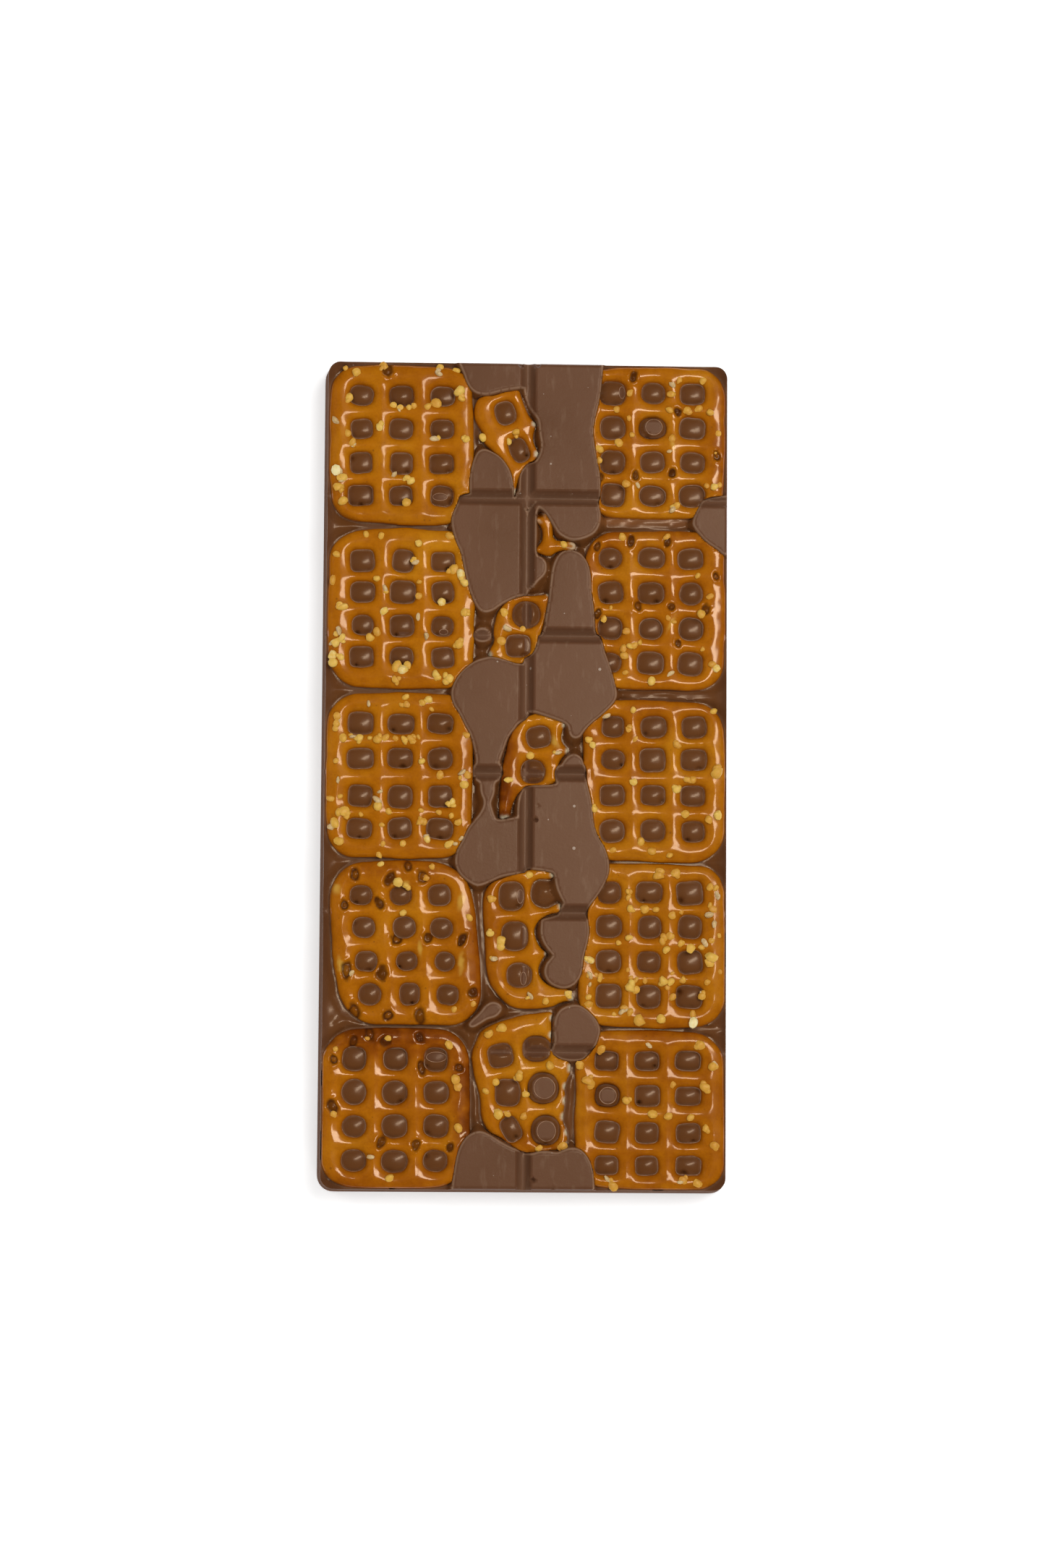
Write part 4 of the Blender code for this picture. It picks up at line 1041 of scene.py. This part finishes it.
def baking(x, y, pretzel):
    """Give how brown a pretzel is baked at each place, most at its ends."""
    low, high = pretzel.ring.min(axis=0), pretzel.ring.max(axis=0)
    top, left, bottom, right, brown = pretzel.baked
    far, near = 5.0, 3.2
    for share, away, reach in ((top, high[1] - y, far), (bottom, y - low[1], far),
                               (left, x - low[0], near), (right, high[0] - x, near)):
        brown = np.maximum(brown, share * bell(away, reach))
    patches = 1 + 0.45 * ripple(x, y, 3.0, pretzel.seed + 6) + 0.3 * ripple(x, y, 0.9, 61)
    return brown * patches


def thinness(x, y):
    """Give how far each place shows pale dough through a thin glaze."""
    thin = np.zeros(x.shape)
    for tx, ty, half_x, half_y, angle in THIN_GLAZE:
        across, along = turned_axes(x - tx, y - ty, math.radians(angle))
        away = np.hypot(across / half_x, along / half_y) + 0.3 * ripple(x, y, 0.7, 91)
        thin = np.maximum(thin, 1 - fade(away, 0.2, 1.2))
    return thin


def crumbliness(x, y):
    """Give how far each place shows the pale crumb of a broken end."""
    crumb = np.zeros(x.shape)
    for cx, cy, reach in CRUMB:
        crumb = np.maximum(crumb, 1 - fade(np.hypot(x - cx, y - cy), 0.3 * reach, reach))
    return crumb


def pretzel_piece(pretzel):
    """Make one pretzel as a closed skin of soft ropes, cut back where chocolate covers it."""
    low, high = pretzel.ring.min(axis=0) - 0.9, pretzel.ring.max(axis=0) + 0.9
    heights = np.concatenate((np.arange(FOOT - 0.5, COARSE_TO, DEEP_CELL),
                              np.arange(FINE_FROM, FACE + 0.5, SKIN_CELL)))
    axes = (np.arange(low[0], high[0], SKIN_CELL), np.arange(low[1], high[1], SKIN_CELL),
            heights)
    x, y = np.meshgrid(axes[0], axes[1], indexing="ij")
    rough = crumbliness(x, y) * (0.18 * ripple(x, y, 0.55, 21) + 0.1 * ripple(x, y, 0.35, 22))
    top = crust_top(x, y, pretzel, crust_depth(x, y, pretzel)) + rough
    slope = np.hypot(*np.gradient(top, SKIN_CELL))
    ring = ring_distance(x, y, pretzel.ring) - 0.25 * ripple(x, y, 5.0, pretzel.seed) + rough
    z = heights[None, None, :]
    half = [side / 2 - DRAFT * z / FACE - WALL_SKIN for side in (WIDTH, LENGTH)]
    field = (z - top[..., None]) / np.sqrt(1 + np.minimum(slope, 3.0) ** 2)[..., None]
    for limit in (ring[..., None], AREA_GAP - area_distance(x, y)[..., None],
                  rounded_box(x[..., None], y[..., None], *half, SKIN_CORNER), FOOT - z):
        field = np.maximum(field, limit)
    corners, faces = skin(field, axes)
    corners = settled(corners, faces)
    px, py = corners[:, 0], corners[:, 1]
    from_edge = -ring_distance(px, py, pretzel.ring)
    # crown says how near the crest each place lies, and sets how much painted shade the sides get
    values = {"crown": 1 - fade(pretzel.crest - corners[:, 2], 0.05, 1.35),
              "toast": toasting(px, py)[1],
              "baked": baking(px, py, pretzel),
              "thin": thinness(px, py),
              "crumb": crumbliness(px, py) * fade(from_edge, 1.1, 0.3)}
    return new_piece(pretzel.name, corners, faces.tolist(), PRETZEL_SHARP, values)


def settled(corners, faces):
    """Even out a skin a little, all but its flat foot, by drawing corners to their neighbours."""
    total, count = np.zeros_like(corners), np.zeros(len(corners))
    for step in (1, -1):
        np.add.at(total, faces.ravel(), corners[np.roll(faces, step, axis=1).ravel()])
        np.add.at(count, faces.ravel(), 1)
    drawn = 0.6 * corners + 0.4 * total / count[:, None]
    return np.where(corners[:, 2:] > FOOT + 0.6, drawn, corners)


def grain_shape(chance, facets):
    """Give a salt crystal's corners and faces: a ball cut by a few random planes."""
    mesh = bmesh.new()
    bmesh.ops.create_icosphere(mesh, subdivisions=2, radius=1.0)
    places = np.array([vert.co for vert in mesh.verts])
    faces = [[vert.index for vert in face.verts] for face in mesh.faces]
    mesh.free()
    planes = np.array([(chance.gauss(0, 1), chance.gauss(0, 1), chance.gauss(0, 1))
                       for _ in range(facets)])
    planes /= np.linalg.norm(planes, axis=1)[:, None]
    offsets = np.array([chance.uniform(0.6, 0.95) for _ in range(facets)])
    facing = places @ planes.T
    cut = np.where(facing > 0.05, offsets / np.maximum(facing, 0.05), 9)
    radius = np.minimum(1.0, cut.min(axis=1))
    return places * radius[:, None], faces


def salt_places():
    """Give every lump's place, size and paleness, with the listed grains first."""
    chance = random.Random(12)
    places = []
    for x, y, size in SALT:
        size = size or chance.uniform(0.75, 1.45)
        tone = chance.uniform(0.1, 1.0) * min(1, size / 1.6)
        x, y = x + chance.uniform(-0.2, 0.2), y + chance.uniform(-0.2, 0.2)
        places.append((x, y, size, tone))
        for _ in range(chance.choice((0, 0, 1, 2) if size > 1.25 else (0, 0, 0, 1))):
            angle, away = chance.uniform(0, math.tau), 0.5 * size
            places.append((x + away * math.cos(angle), y + away * math.sin(angle),
                           size * chance.uniform(0.5, 0.8), tone * chance.uniform(0.5, 1.0)))
    whole = PRETZELS[:len(WAFFLES)]
    for _ in range(SPARE_GRAINS):
        pretzel = chance.choices(whole, SPARE_LIKELY)[0]
        low, high = pretzel.ring.min(axis=0), pretzel.ring.max(axis=0)
        for _ in range(30):
            x = chance.uniform(low[0] + 1.2, high[0] - 1.2)
            y = chance.uniform(low[1] + 1.2, high[1] - 1.2)
            if crust_depth(np.array([x]), np.array([y]), pretzel)[0] > 0.7:
                places.append((x, y, chance.uniform(0.75, 1.4), chance.uniform(0.0, 0.3)))
                break
    return places


def salt_pieces():
    """Make the salt: glazed grains in one piece, and clear crystals in another."""
    chance = random.Random(31)
    glazed, clear = ([], [], []), ([], [], [])
    for x, y, size, tone in salt_places():
        px, py = np.array([x]), np.array([y])
        best = max(PRETZELS, key=lambda item: crust_depth(px, py, item)[0])
        depth = crust_depth(px, py, best)
        if area_distance(px, py)[0] < 0.5 or abs(x) > HALF_X - 0.9:
            continue
        floor = float(crust_top(px, py, best, np.maximum(depth, 0.25))[0])
        is_clear = chance.random() < CLEAR_SHARE
        tone *= GLAZED_OVER.get(best.node, 1)
        shape, faces = grain_shape(chance, CLEAR_CUTS if is_clear else GLAZED_CUTS)
        half = GRAIN_HALF * size
        tall = half * chance.uniform(0.4, 0.6) * (0.45 + 0.55 * min(1, tone / 0.4))
        turn = chance.uniform(0, math.tau)
        spin = np.array(((math.cos(turn), -math.sin(turn)), (math.sin(turn), math.cos(turn))))
        slim = chance.uniform(0.5, 0.7) if is_clear else chance.uniform(0.7, 1.0)
        shape[:, :2] = (shape[:, :2] * (half, half * slim)) @ spin
        middle = min(floor + tall * chance.uniform(0.1, 0.35), FACE + 0.25 - tall)
        shape = shape * (1, 1, tall) + (x, y, middle)
        corners, grain_faces, tones = clear if is_clear else glazed
        start = len(corners)
        corners.extend(shape.tolist())
        grain_faces.extend([[start + k for k in face] for face in faces])
        tones.extend([tone] * len(shape))
    pieces = []
    for name, (corners, faces, tones), material in (
            ("salt_grains", glazed, glazed_salt_material()),
            ("salt_crystals", clear, clear_salt_material())):
        item = new_piece(name, corners, faces, GRAIN_SHARP, {"tone": tones})
        item.data.materials.append(material)
        pieces.append(item)
    return pieces


def new_group(name, inputs, outputs):
    """Start a shader node group with number inputs and outputs of the given kinds."""
    group = bpy.data.node_groups.new(name, "ShaderNodeTree")
    for label, value in inputs:
        socket = group.interface.new_socket(label, in_out="INPUT", socket_type="NodeSocketFloat")
        socket.default_value = value
    for label, kind in outputs:
        group.interface.new_socket(label, in_out="OUTPUT", socket_type=kind)
    start = group.nodes.new("NodeGroupInput")
    end = group.nodes.new("NodeGroupOutput")
    return group, start, end


def add_node(tree, kind, settings=None, links=None, values=None):
    """Add a node, set its properties and values, and link its inputs."""
    node = tree.nodes.new(kind)
    for key, value in (settings or {}).items():
        setattr(node, key, value)
    for key, value in (values or {}).items():
        node.inputs[key].default_value = value
    for key, source in (links or {}).items():
        tree.links.new(source, node.inputs[key])
    return node


def noise(tree, scale, stretch):
    """Add noise that is drawn out along one axis, with its scale per metre."""
    place = tree.nodes.new("ShaderNodeTexCoord").outputs["Object"]
    drawn = add_node(tree, "ShaderNodeMapping", links={"Vector": place},
                     values={"Scale": stretch})
    return add_node(tree, "ShaderNodeTexNoise", links={"Vector": drawn.outputs[0]},
                    values={"Scale": scale, "Detail": 3.0}).outputs[0]


def ramp(tree, value, *stops):
    """Add a colour ramp with (place, colour) stops; a number is a grey."""
    node = add_node(tree, "ShaderNodeValToRGB", links={"Fac": value})
    elements = node.color_ramp.elements
    while len(elements) < len(stops):
        elements.new(0.5)
    for element, (place, colour) in zip(elements, stops):
        element.position = place
        shade = colour if isinstance(colour, tuple) else (colour,) * 3
        element.color = (*shade, 1)
    return node.outputs[0]


def feed(tree, socket, item):
    """Link an input to another socket, or set it to a number or a colour."""
    if isinstance(item, bpy.types.NodeSocket):
        tree.links.new(item, socket)
    else:
        socket.default_value = (*item, 1) if isinstance(item, tuple) else item


def mix(tree, factor, first, second, blend="MIX"):
    """Mix two colours, each a socket or a colour, by a factor that is a socket or number."""
    node = add_node(tree, "ShaderNodeMix", {"data_type": "RGBA", "blend_type": blend})
    for key, item in (("Factor", factor), ("A", first), ("B", second)):
        feed(tree, [socket for socket in node.inputs if socket.name == key and socket.enabled][0],
             item)
    return [socket for socket in node.outputs if socket.enabled][0]


def maths(tree, operation, *items):
    """Add a sum on numbers or sockets."""
    node = add_node(tree, "ShaderNodeMath", {"operation": operation})
    for socket, item in zip(node.inputs, items):
        feed(tree, socket, item)
    return node.outputs[0]


def corner_value(tree, name):
    """Read a named value that the mesh holds at its corners."""
    return add_node(tree, "ShaderNodeAttribute", {"attribute_name": name}).outputs["Fac"]


@functools.lru_cache(maxsize=None)
def specks_group():
    """Build scattered small specks: a mask that is 1 in few, sparse, uneven dots."""
    group, start, end = new_group("Specks", (("Scale", 900.0), ("Size", 0.3), ("Share", 0.5)),
                                  (("Mask", "NodeSocketFloat"),))
    place = group.nodes.new("ShaderNodeTexCoord").outputs["Object"]
    dots = add_node(group, "ShaderNodeTexVoronoi",
                    links={"Vector": place, "Scale": start.outputs["Scale"]})
    keep = add_node(group, "ShaderNodeSeparateColor", links={"Color": dots.outputs["Color"]})
    chosen = maths(group, "LESS_THAN", keep.outputs[0], start.outputs["Share"])
    size = maths(group, "MULTIPLY", start.outputs["Size"],
                 maths(group, "ADD", keep.outputs[1], 0.3))
    near = maths(group, "LESS_THAN", dots.outputs["Distance"], size)
    group.links.new(maths(group, "MULTIPLY", chosen, near), end.inputs["Mask"])
    return group


@functools.lru_cache(maxsize=None)
def grain_group():
    """Build fine surface grain: a height from two sizes of noise, and a slow tone change."""
    group, start, end = new_group("Fine grain", (("Coarse", 400.0), ("Fine", 2500.0)),
                                  (("Height", "NodeSocketFloat"), ("Tone", "NodeSocketFloat")))
    place = group.nodes.new("ShaderNodeTexCoord").outputs["Object"]
    heights = []
    for label in ("Coarse", "Fine"):
        heights.append(add_node(group, "ShaderNodeTexNoise", values={"Detail": 4.0},
                                links={"Vector": place, "Scale": start.outputs[label]}).outputs[0])
    slow = add_node(group, "ShaderNodeTexNoise", links={"Vector": place},
                    values={"Scale": 60.0, "Detail": 3.0}).outputs[0]
    total = maths(group, "ADD", maths(group, "MULTIPLY", heights[0], 0.6),
                  maths(group, "MULTIPLY", heights[1], 0.4))
    group.links.new(total, end.inputs["Height"])
    group.links.new(slow, end.inputs["Tone"])
    return group


def placed_group(tree, group, **values):
    """Place a shared node group with its own values."""
    return add_node(tree, "ShaderNodeGroup", {"node_tree": group}, values=values)


def new_material(name, numbers):
    """Start a material and set its shader's plain numbers."""
    material = bpy.data.materials.new(name)
    material.use_nodes = True
    shader = material.node_tree.nodes["Principled BSDF"]
    for key, number in numbers.items():
        shader.inputs[key].default_value = number
    return material, material.node_tree, shader


def finish_shader(tree, shader, colour, grain, bump):
    """Link a material's colour, and its grain as a bump of the given depth in metres."""
    tree.links.new(colour, shader.inputs["Base Color"])
    relief = add_node(tree, "ShaderNodeBump", links={"Height": grain.outputs["Height"]},
                      values={"Distance": bump})
    tree.links.new(relief.outputs[0], shader.inputs["Normal"])


def chocolate_material():
    """Milk chocolate: satin where the mould pressed it, with a greyer brown there that is a painted
    sheen, and glossier where it flowed.
    """
    material, tree, shader = new_material("milk_chocolate_satin", {"Specular IOR Level": 0.22,
                                                                   "Coat Roughness": 0.15})
    satin = corner_value(tree, "satin")
    light = corner_value(tree, "pale_edges_and_painted_light")
    wall = corner_value(tree, "side_wall")
    grain = placed_group(tree, grain_group(), Coarse=260.0, Fine=2400.0)
    # The satin brown is greyer than the flowed brown: a painted sheen on the pressed areas
    brown = ramp(tree, grain.outputs["Tone"], (0.3, (0.111, 0.0455, 0.0202)),
                 (0.7, (0.128, 0.054, 0.0257)))
    flowed = ramp(tree, grain.outputs["Tone"], (0.3, (0.115, 0.04, 0.0103)),
                  (0.7, (0.134, 0.0485, 0.014)))
    colour = mix(tree, satin, flowed, brown)
    colour = mix(tree, maths(tree, "MULTIPLY", light, 0.85), colour, (0.32, 0.19, 0.115))
    colour = mix(tree, corner_value(tree, "stain"), colour, (0.23, 0.082, 0.022))
    pale = placed_group(tree, specks_group(), Scale=230.0, Size=0.07, Share=0.35)
    tiny = placed_group(tree, specks_group(), Scale=700.0, Size=0.09, Share=0.06)
    flecks = maths(tree, "MULTIPLY", maths(tree, "MAXIMUM", pale.outputs[0], tiny.outputs[0]),
                   maths(tree, "MULTIPLY", satin, 0.7))
    colour = mix(tree, flecks, colour, (0.42, 0.33, 0.26))
    rubbed = ramp(tree, noise(tree, 900.0, (1.0, 0.25, 1.0)), (0.58, 0.0), (0.75, 0.2))
    colour = mix(tree, maths(tree, "MULTIPLY", rubbed, satin), colour, (0.26, 0.16, 0.1))
    dull = ramp(tree, grain.outputs["Tone"], (0.3, 0.26), (0.7, 0.34))
    rough = mix(tree, satin, (0.26, 0.26, 0.26), dull)
    rough = mix(tree, wall, rough, (0.9, 0.9, 0.9))
    tree.links.new(rough, shader.inputs["Roughness"])
    covered = maths(tree, "MAXIMUM", satin, wall)
    tree.links.new(maths(tree, "MULTIPLY_ADD", covered, -0.36, 0.36), shader.inputs["Coat Weight"])
    finish_shader(tree, shader, colour, grain, 0.03 * MM)
    return material


def lip_highlight_material():
    """The thin chocolate along the edge of every hole, painted pale as a highlight."""
    material, tree, shader = new_material("chocolate_lip_painted_highlight", {"Roughness": 0.4,
                                                            "Specular IOR Level": 0.25})
    grain = placed_group(tree, grain_group(), Coarse=900.0, Fine=3000.0)
    # Pale colour that is a painted highlight along the lip
    colour = ramp(tree, grain.outputs["Height"], (0.35, (0.22, 0.11, 0.055)),
                  (0.62, (0.4, 0.24, 0.15)))
    finish_shader(tree, shader, colour, grain, 0.04 * MM)
    return material


def crust_colour(tree, grain, toast, crumb):
    """Build the crust's colours: amber crests, sides darkened as painted shade, brown ends and dark
    pits.
    """
    golden = ramp(tree, grain.outputs["Tone"], (0.3, (0.4, 0.116, 0.0004)),
                  (0.5, (0.46, 0.144, 0.0006)), (0.72, (0.54, 0.2, 0.003)))
    # The sides' darker, redder colour is painted shade, taken more the further the skin lies below
    # the crest
    sides = ramp(tree, grain.outputs["Tone"], (0.3, (0.33, 0.08, 0.0002)),
                 (0.7, (0.41, 0.115, 0.0005)))
    mottled = ramp(tree, grain.outputs["Height"], (0.36, (0.86, 0.82, 0.8)),
                   (0.52, (1.0, 1.0, 1.0)), (0.66, (1.06, 1.1, 1.2)))
    brown = ramp(tree, corner_value(tree, "baked"), (0.0, (1.0, 1.0, 1.0)),
                 (0.5, (0.66, 0.52, 0.5)), (1.0, (0.38, 0.25, 0.3)))
    pale = ramp(tree, grain.outputs["Height"], (0.35, (0.42, 0.33, 0.17)),
                (0.65, (0.72, 0.62, 0.4)))
    dark = placed_group(tree, specks_group(), Scale=900.0, Size=0.16, Share=0.12)
    thin = maths(tree, "MULTIPLY", corner_value(tree, "thin"), 0.75)
    colour = mix(tree, corner_value(tree, "crown"), sides, golden)
    colour = mix(tree, 1.0, colour, mottled, "MULTIPLY")
    colour = mix(tree, 1.0, colour, brown, "MULTIPLY")
    colour = mix(tree, thin, colour, (0.62, 0.34, 0.045))
    colour = mix(tree, toast, colour, (0.05, 0.012, 0.002))
    colour = mix(tree, maths(tree, "MULTIPLY", dark.outputs[0], 0.45), colour,
                 (0.14, 0.04, 0.004))
    return mix(tree, crumb, colour, pale)


def crust_material(name, tint, coat):
    """Glazed pretzel crust, glossy all but where it burst or broke."""
    material, tree, shader = new_material(name, {"Specular IOR Level": 0.08,
                                                 "Coat Roughness": 0.11, "Coat IOR": 1.6})
    grain = placed_group(tree, grain_group(), Coarse=520.0, Fine=2600.0)
    toast = corner_value(tree, "toast")
    crumb = corner_value(tree, "crumb")
    colour = mix(tree, 1.0, crust_colour(tree, grain, toast, crumb), tint, "MULTIPLY")
    rough = ramp(tree, grain.outputs["Height"], (0.35, 0.3), (0.65, 0.42))
    rough = mix(tree, crumb, rough, (0.85, 0.85, 0.85))
    tree.links.new(rough, shader.inputs["Roughness"])
    bare = maths(tree, "MAXIMUM", toast, crumb)
    gloss = maths(tree, "MULTIPLY_ADD", bare, -0.85 * coat, coat)
    tree.links.new(gloss, shader.inputs["Coat Weight"])
    finish_shader(tree, shader, colour, grain, 0.05 * MM)
    return material


def salt_material(name, roughness, weight, radius):
    """Start a salt material that lets some light in, with its surface grain."""
    material, tree, shader = new_material(name, {"Roughness": roughness,
                                                 "Subsurface Weight": weight,
                                                 "Subsurface Radius": radius})
    return material, tree, shader, placed_group(tree, grain_group(), Coarse=900.0, Fine=3500.0)


def glazed_salt_material():
    """Salt under pretzel glaze: from amber to pale yellow and near white."""
    material, tree, shader, grain = salt_material("glazed_salt", 0.35, 0.25,
                                                  (0.0008, 0.0005, 0.0002))
    tone = maths(tree, "ADD", corner_value(tree, "tone"),
                 maths(tree, "MULTIPLY", maths(tree, "SUBTRACT", grain.outputs["Height"], 0.5), 0.8))
    colour = ramp(tree, tone, (0.0, (0.56, 0.25, 0.025)), (0.35, (0.68, 0.38, 0.055)),
                  (0.75, (0.74, 0.48, 0.1)), (1.0, (0.84, 0.72, 0.38)))
    finish_shader(tree, shader, colour, grain, 0.12 * MM)
    return material


def clear_salt_material():
    """Bare salt crystals: greyish, slightly see-through."""
    material, tree, shader, grain = salt_material("clear_salt", 0.28, 0.4,
                                                  (0.0008, 0.0007, 0.0005))
    colour = ramp(tree, grain.outputs["Height"], (0.3, (0.46, 0.28, 0.1)),
                  (0.7, (0.74, 0.56, 0.3)))
    finish_shader(tree, shader, colour, grain, 0.1 * MM)
    return material


def studio_floor():
    """Lay a plain white floor a hair under the tablet, which can be seen through from below."""
    mesh = bmesh.new()
    bmesh.ops.create_grid(mesh, x_segments=1, y_segments=1, size=FLOOR_SIZE)
    data = bpy.data.meshes.new("studio_floor")
    mesh.to_mesh(data)
    mesh.free()
    floor = add_object("studio_floor", data)
    floor.location.z = -FLOOR_DROP * MM
    material, tree, shader = new_material("white_floor", {
        "Roughness": 0.9, "Base Color": (0.93, 0.93, 0.93, 1), "Specular IOR Level": 0.1,
        "Emission Color": (1, 1, 1, 1), "Emission Strength": 0.38})
    from_below = tree.nodes.new("ShaderNodeNewGeometry").outputs["Backfacing"]
    clear = tree.nodes.new("ShaderNodeBsdfTransparent")
    shown = add_node(tree, "ShaderNodeMixShader",
                     links={0: from_below, 1: shader.outputs[0], 2: clear.outputs[0]})
    tree.links.new(shown.outputs[0], tree.nodes["Material Output"].inputs["Surface"])
    data.materials.append(material)


def soft_light(name, place, size, power, colour=(1, 1, 1)):
    """Hang one rectangular soft light, aimed at the tablet's middle."""
    lamp = bpy.data.lights.new(name, "AREA")
    lamp.shape = "RECTANGLE"
    lamp.size, lamp.size_y = size
    lamp.energy = power
    lamp.color = colour
    item = add_object(name, lamp)
    item.location = place
    item.rotation_euler = (-Vector(place)).to_track_quat("-Z", "Y").to_euler()
    return item


def studio():
    """Set up the floor, soft light from the right and around, and one box that glints."""
    studio_floor()
    for name, place, size, power in SOFT_LIGHTS:
        soft_light(name, place, size, power).visible_glossy = False
    soft_light(*GLINT_BOX).visible_diffuse = False
    world = bpy.data.worlds.new("studio_room")
    world.use_nodes = True
    backdrop = world.node_tree.nodes["Background"]
    backdrop.inputs["Color"].default_value = (1, 1, 1, 1)
    path = world.node_tree.nodes.new("ShaderNodeLightPath")
    strength = add_node(world.node_tree, "ShaderNodeMapRange",
                        links={"Value": path.outputs["Is Glossy Ray"]},
                        values={"To Min": ROOM_LIGHT, "To Max": ROOM_GLOSS})
    seen = maths(world.node_tree, "MULTIPLY_ADD", path.outputs["Is Camera Ray"], ROOM_SEEN,
                 strength.outputs[0])
    world.node_tree.links.new(seen, backdrop.inputs["Strength"])
    bpy.context.scene.world = world


def camera():
    """Place the camera above the tablet, leaning a little to its left and bottom."""
    back = Vector((-math.tan(math.radians(LEAN_LEFT)), -math.tan(math.radians(LEAN_DOWN)), 1))
    back.normalize()
    right = Vector((0, 1, 0)).cross(back).normalized()
    turned = Matrix((right, back.cross(right), back)).transposed()
    turned = turned @ Matrix.Rotation(math.radians(ROLL), 3, "Z")
    lens = bpy.data.cameras.new("camera")
    lens.lens = FOCAL_LENGTH
    lens.sensor_width = 36
    lens.clip_start, lens.clip_end = 0.01, 10
    item = add_object("camera", lens)
    item.matrix_world = (Matrix.Translation(Vector(AIM) * MM + back * DISTANCE)
                         @ turned.to_4x4())
    bpy.context.scene.camera = item


def dress():
    """Make every piece, give it its finish, and say what it stands for."""
    tablet = tablet_piece()
    tablet.data.materials.append(chocolate_material())
    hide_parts("chocolate")
    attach(tablet, "root")
    lips = hole_lips()
    lips.data.materials.append(lip_highlight_material())
    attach(lips, "root")
    plain = crust_material("glazed_crust", (0.9, 0.89, 0.95), 0.6)
    golden = crust_material("golden_crust", (0.93, 0.93, 1.0), 0.65)
    glossy = crust_material("glossy_crust", (0.94, 0.93, 1.0), 0.8)
    for i, pretzel in enumerate(PRETZELS):
        item = pretzel_piece(pretzel)
        crust = glossy if pretzel.node in GLOSSY else (plain, golden)[i % 2]
        item.data.materials.append(crust)
        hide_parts(pretzel.node)
        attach(item, "root")
    for item in salt_pieces():
        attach(item, "root")


bpy.context.scene.view_settings.view_transform = "Standard"
dress()
studio()
camera()
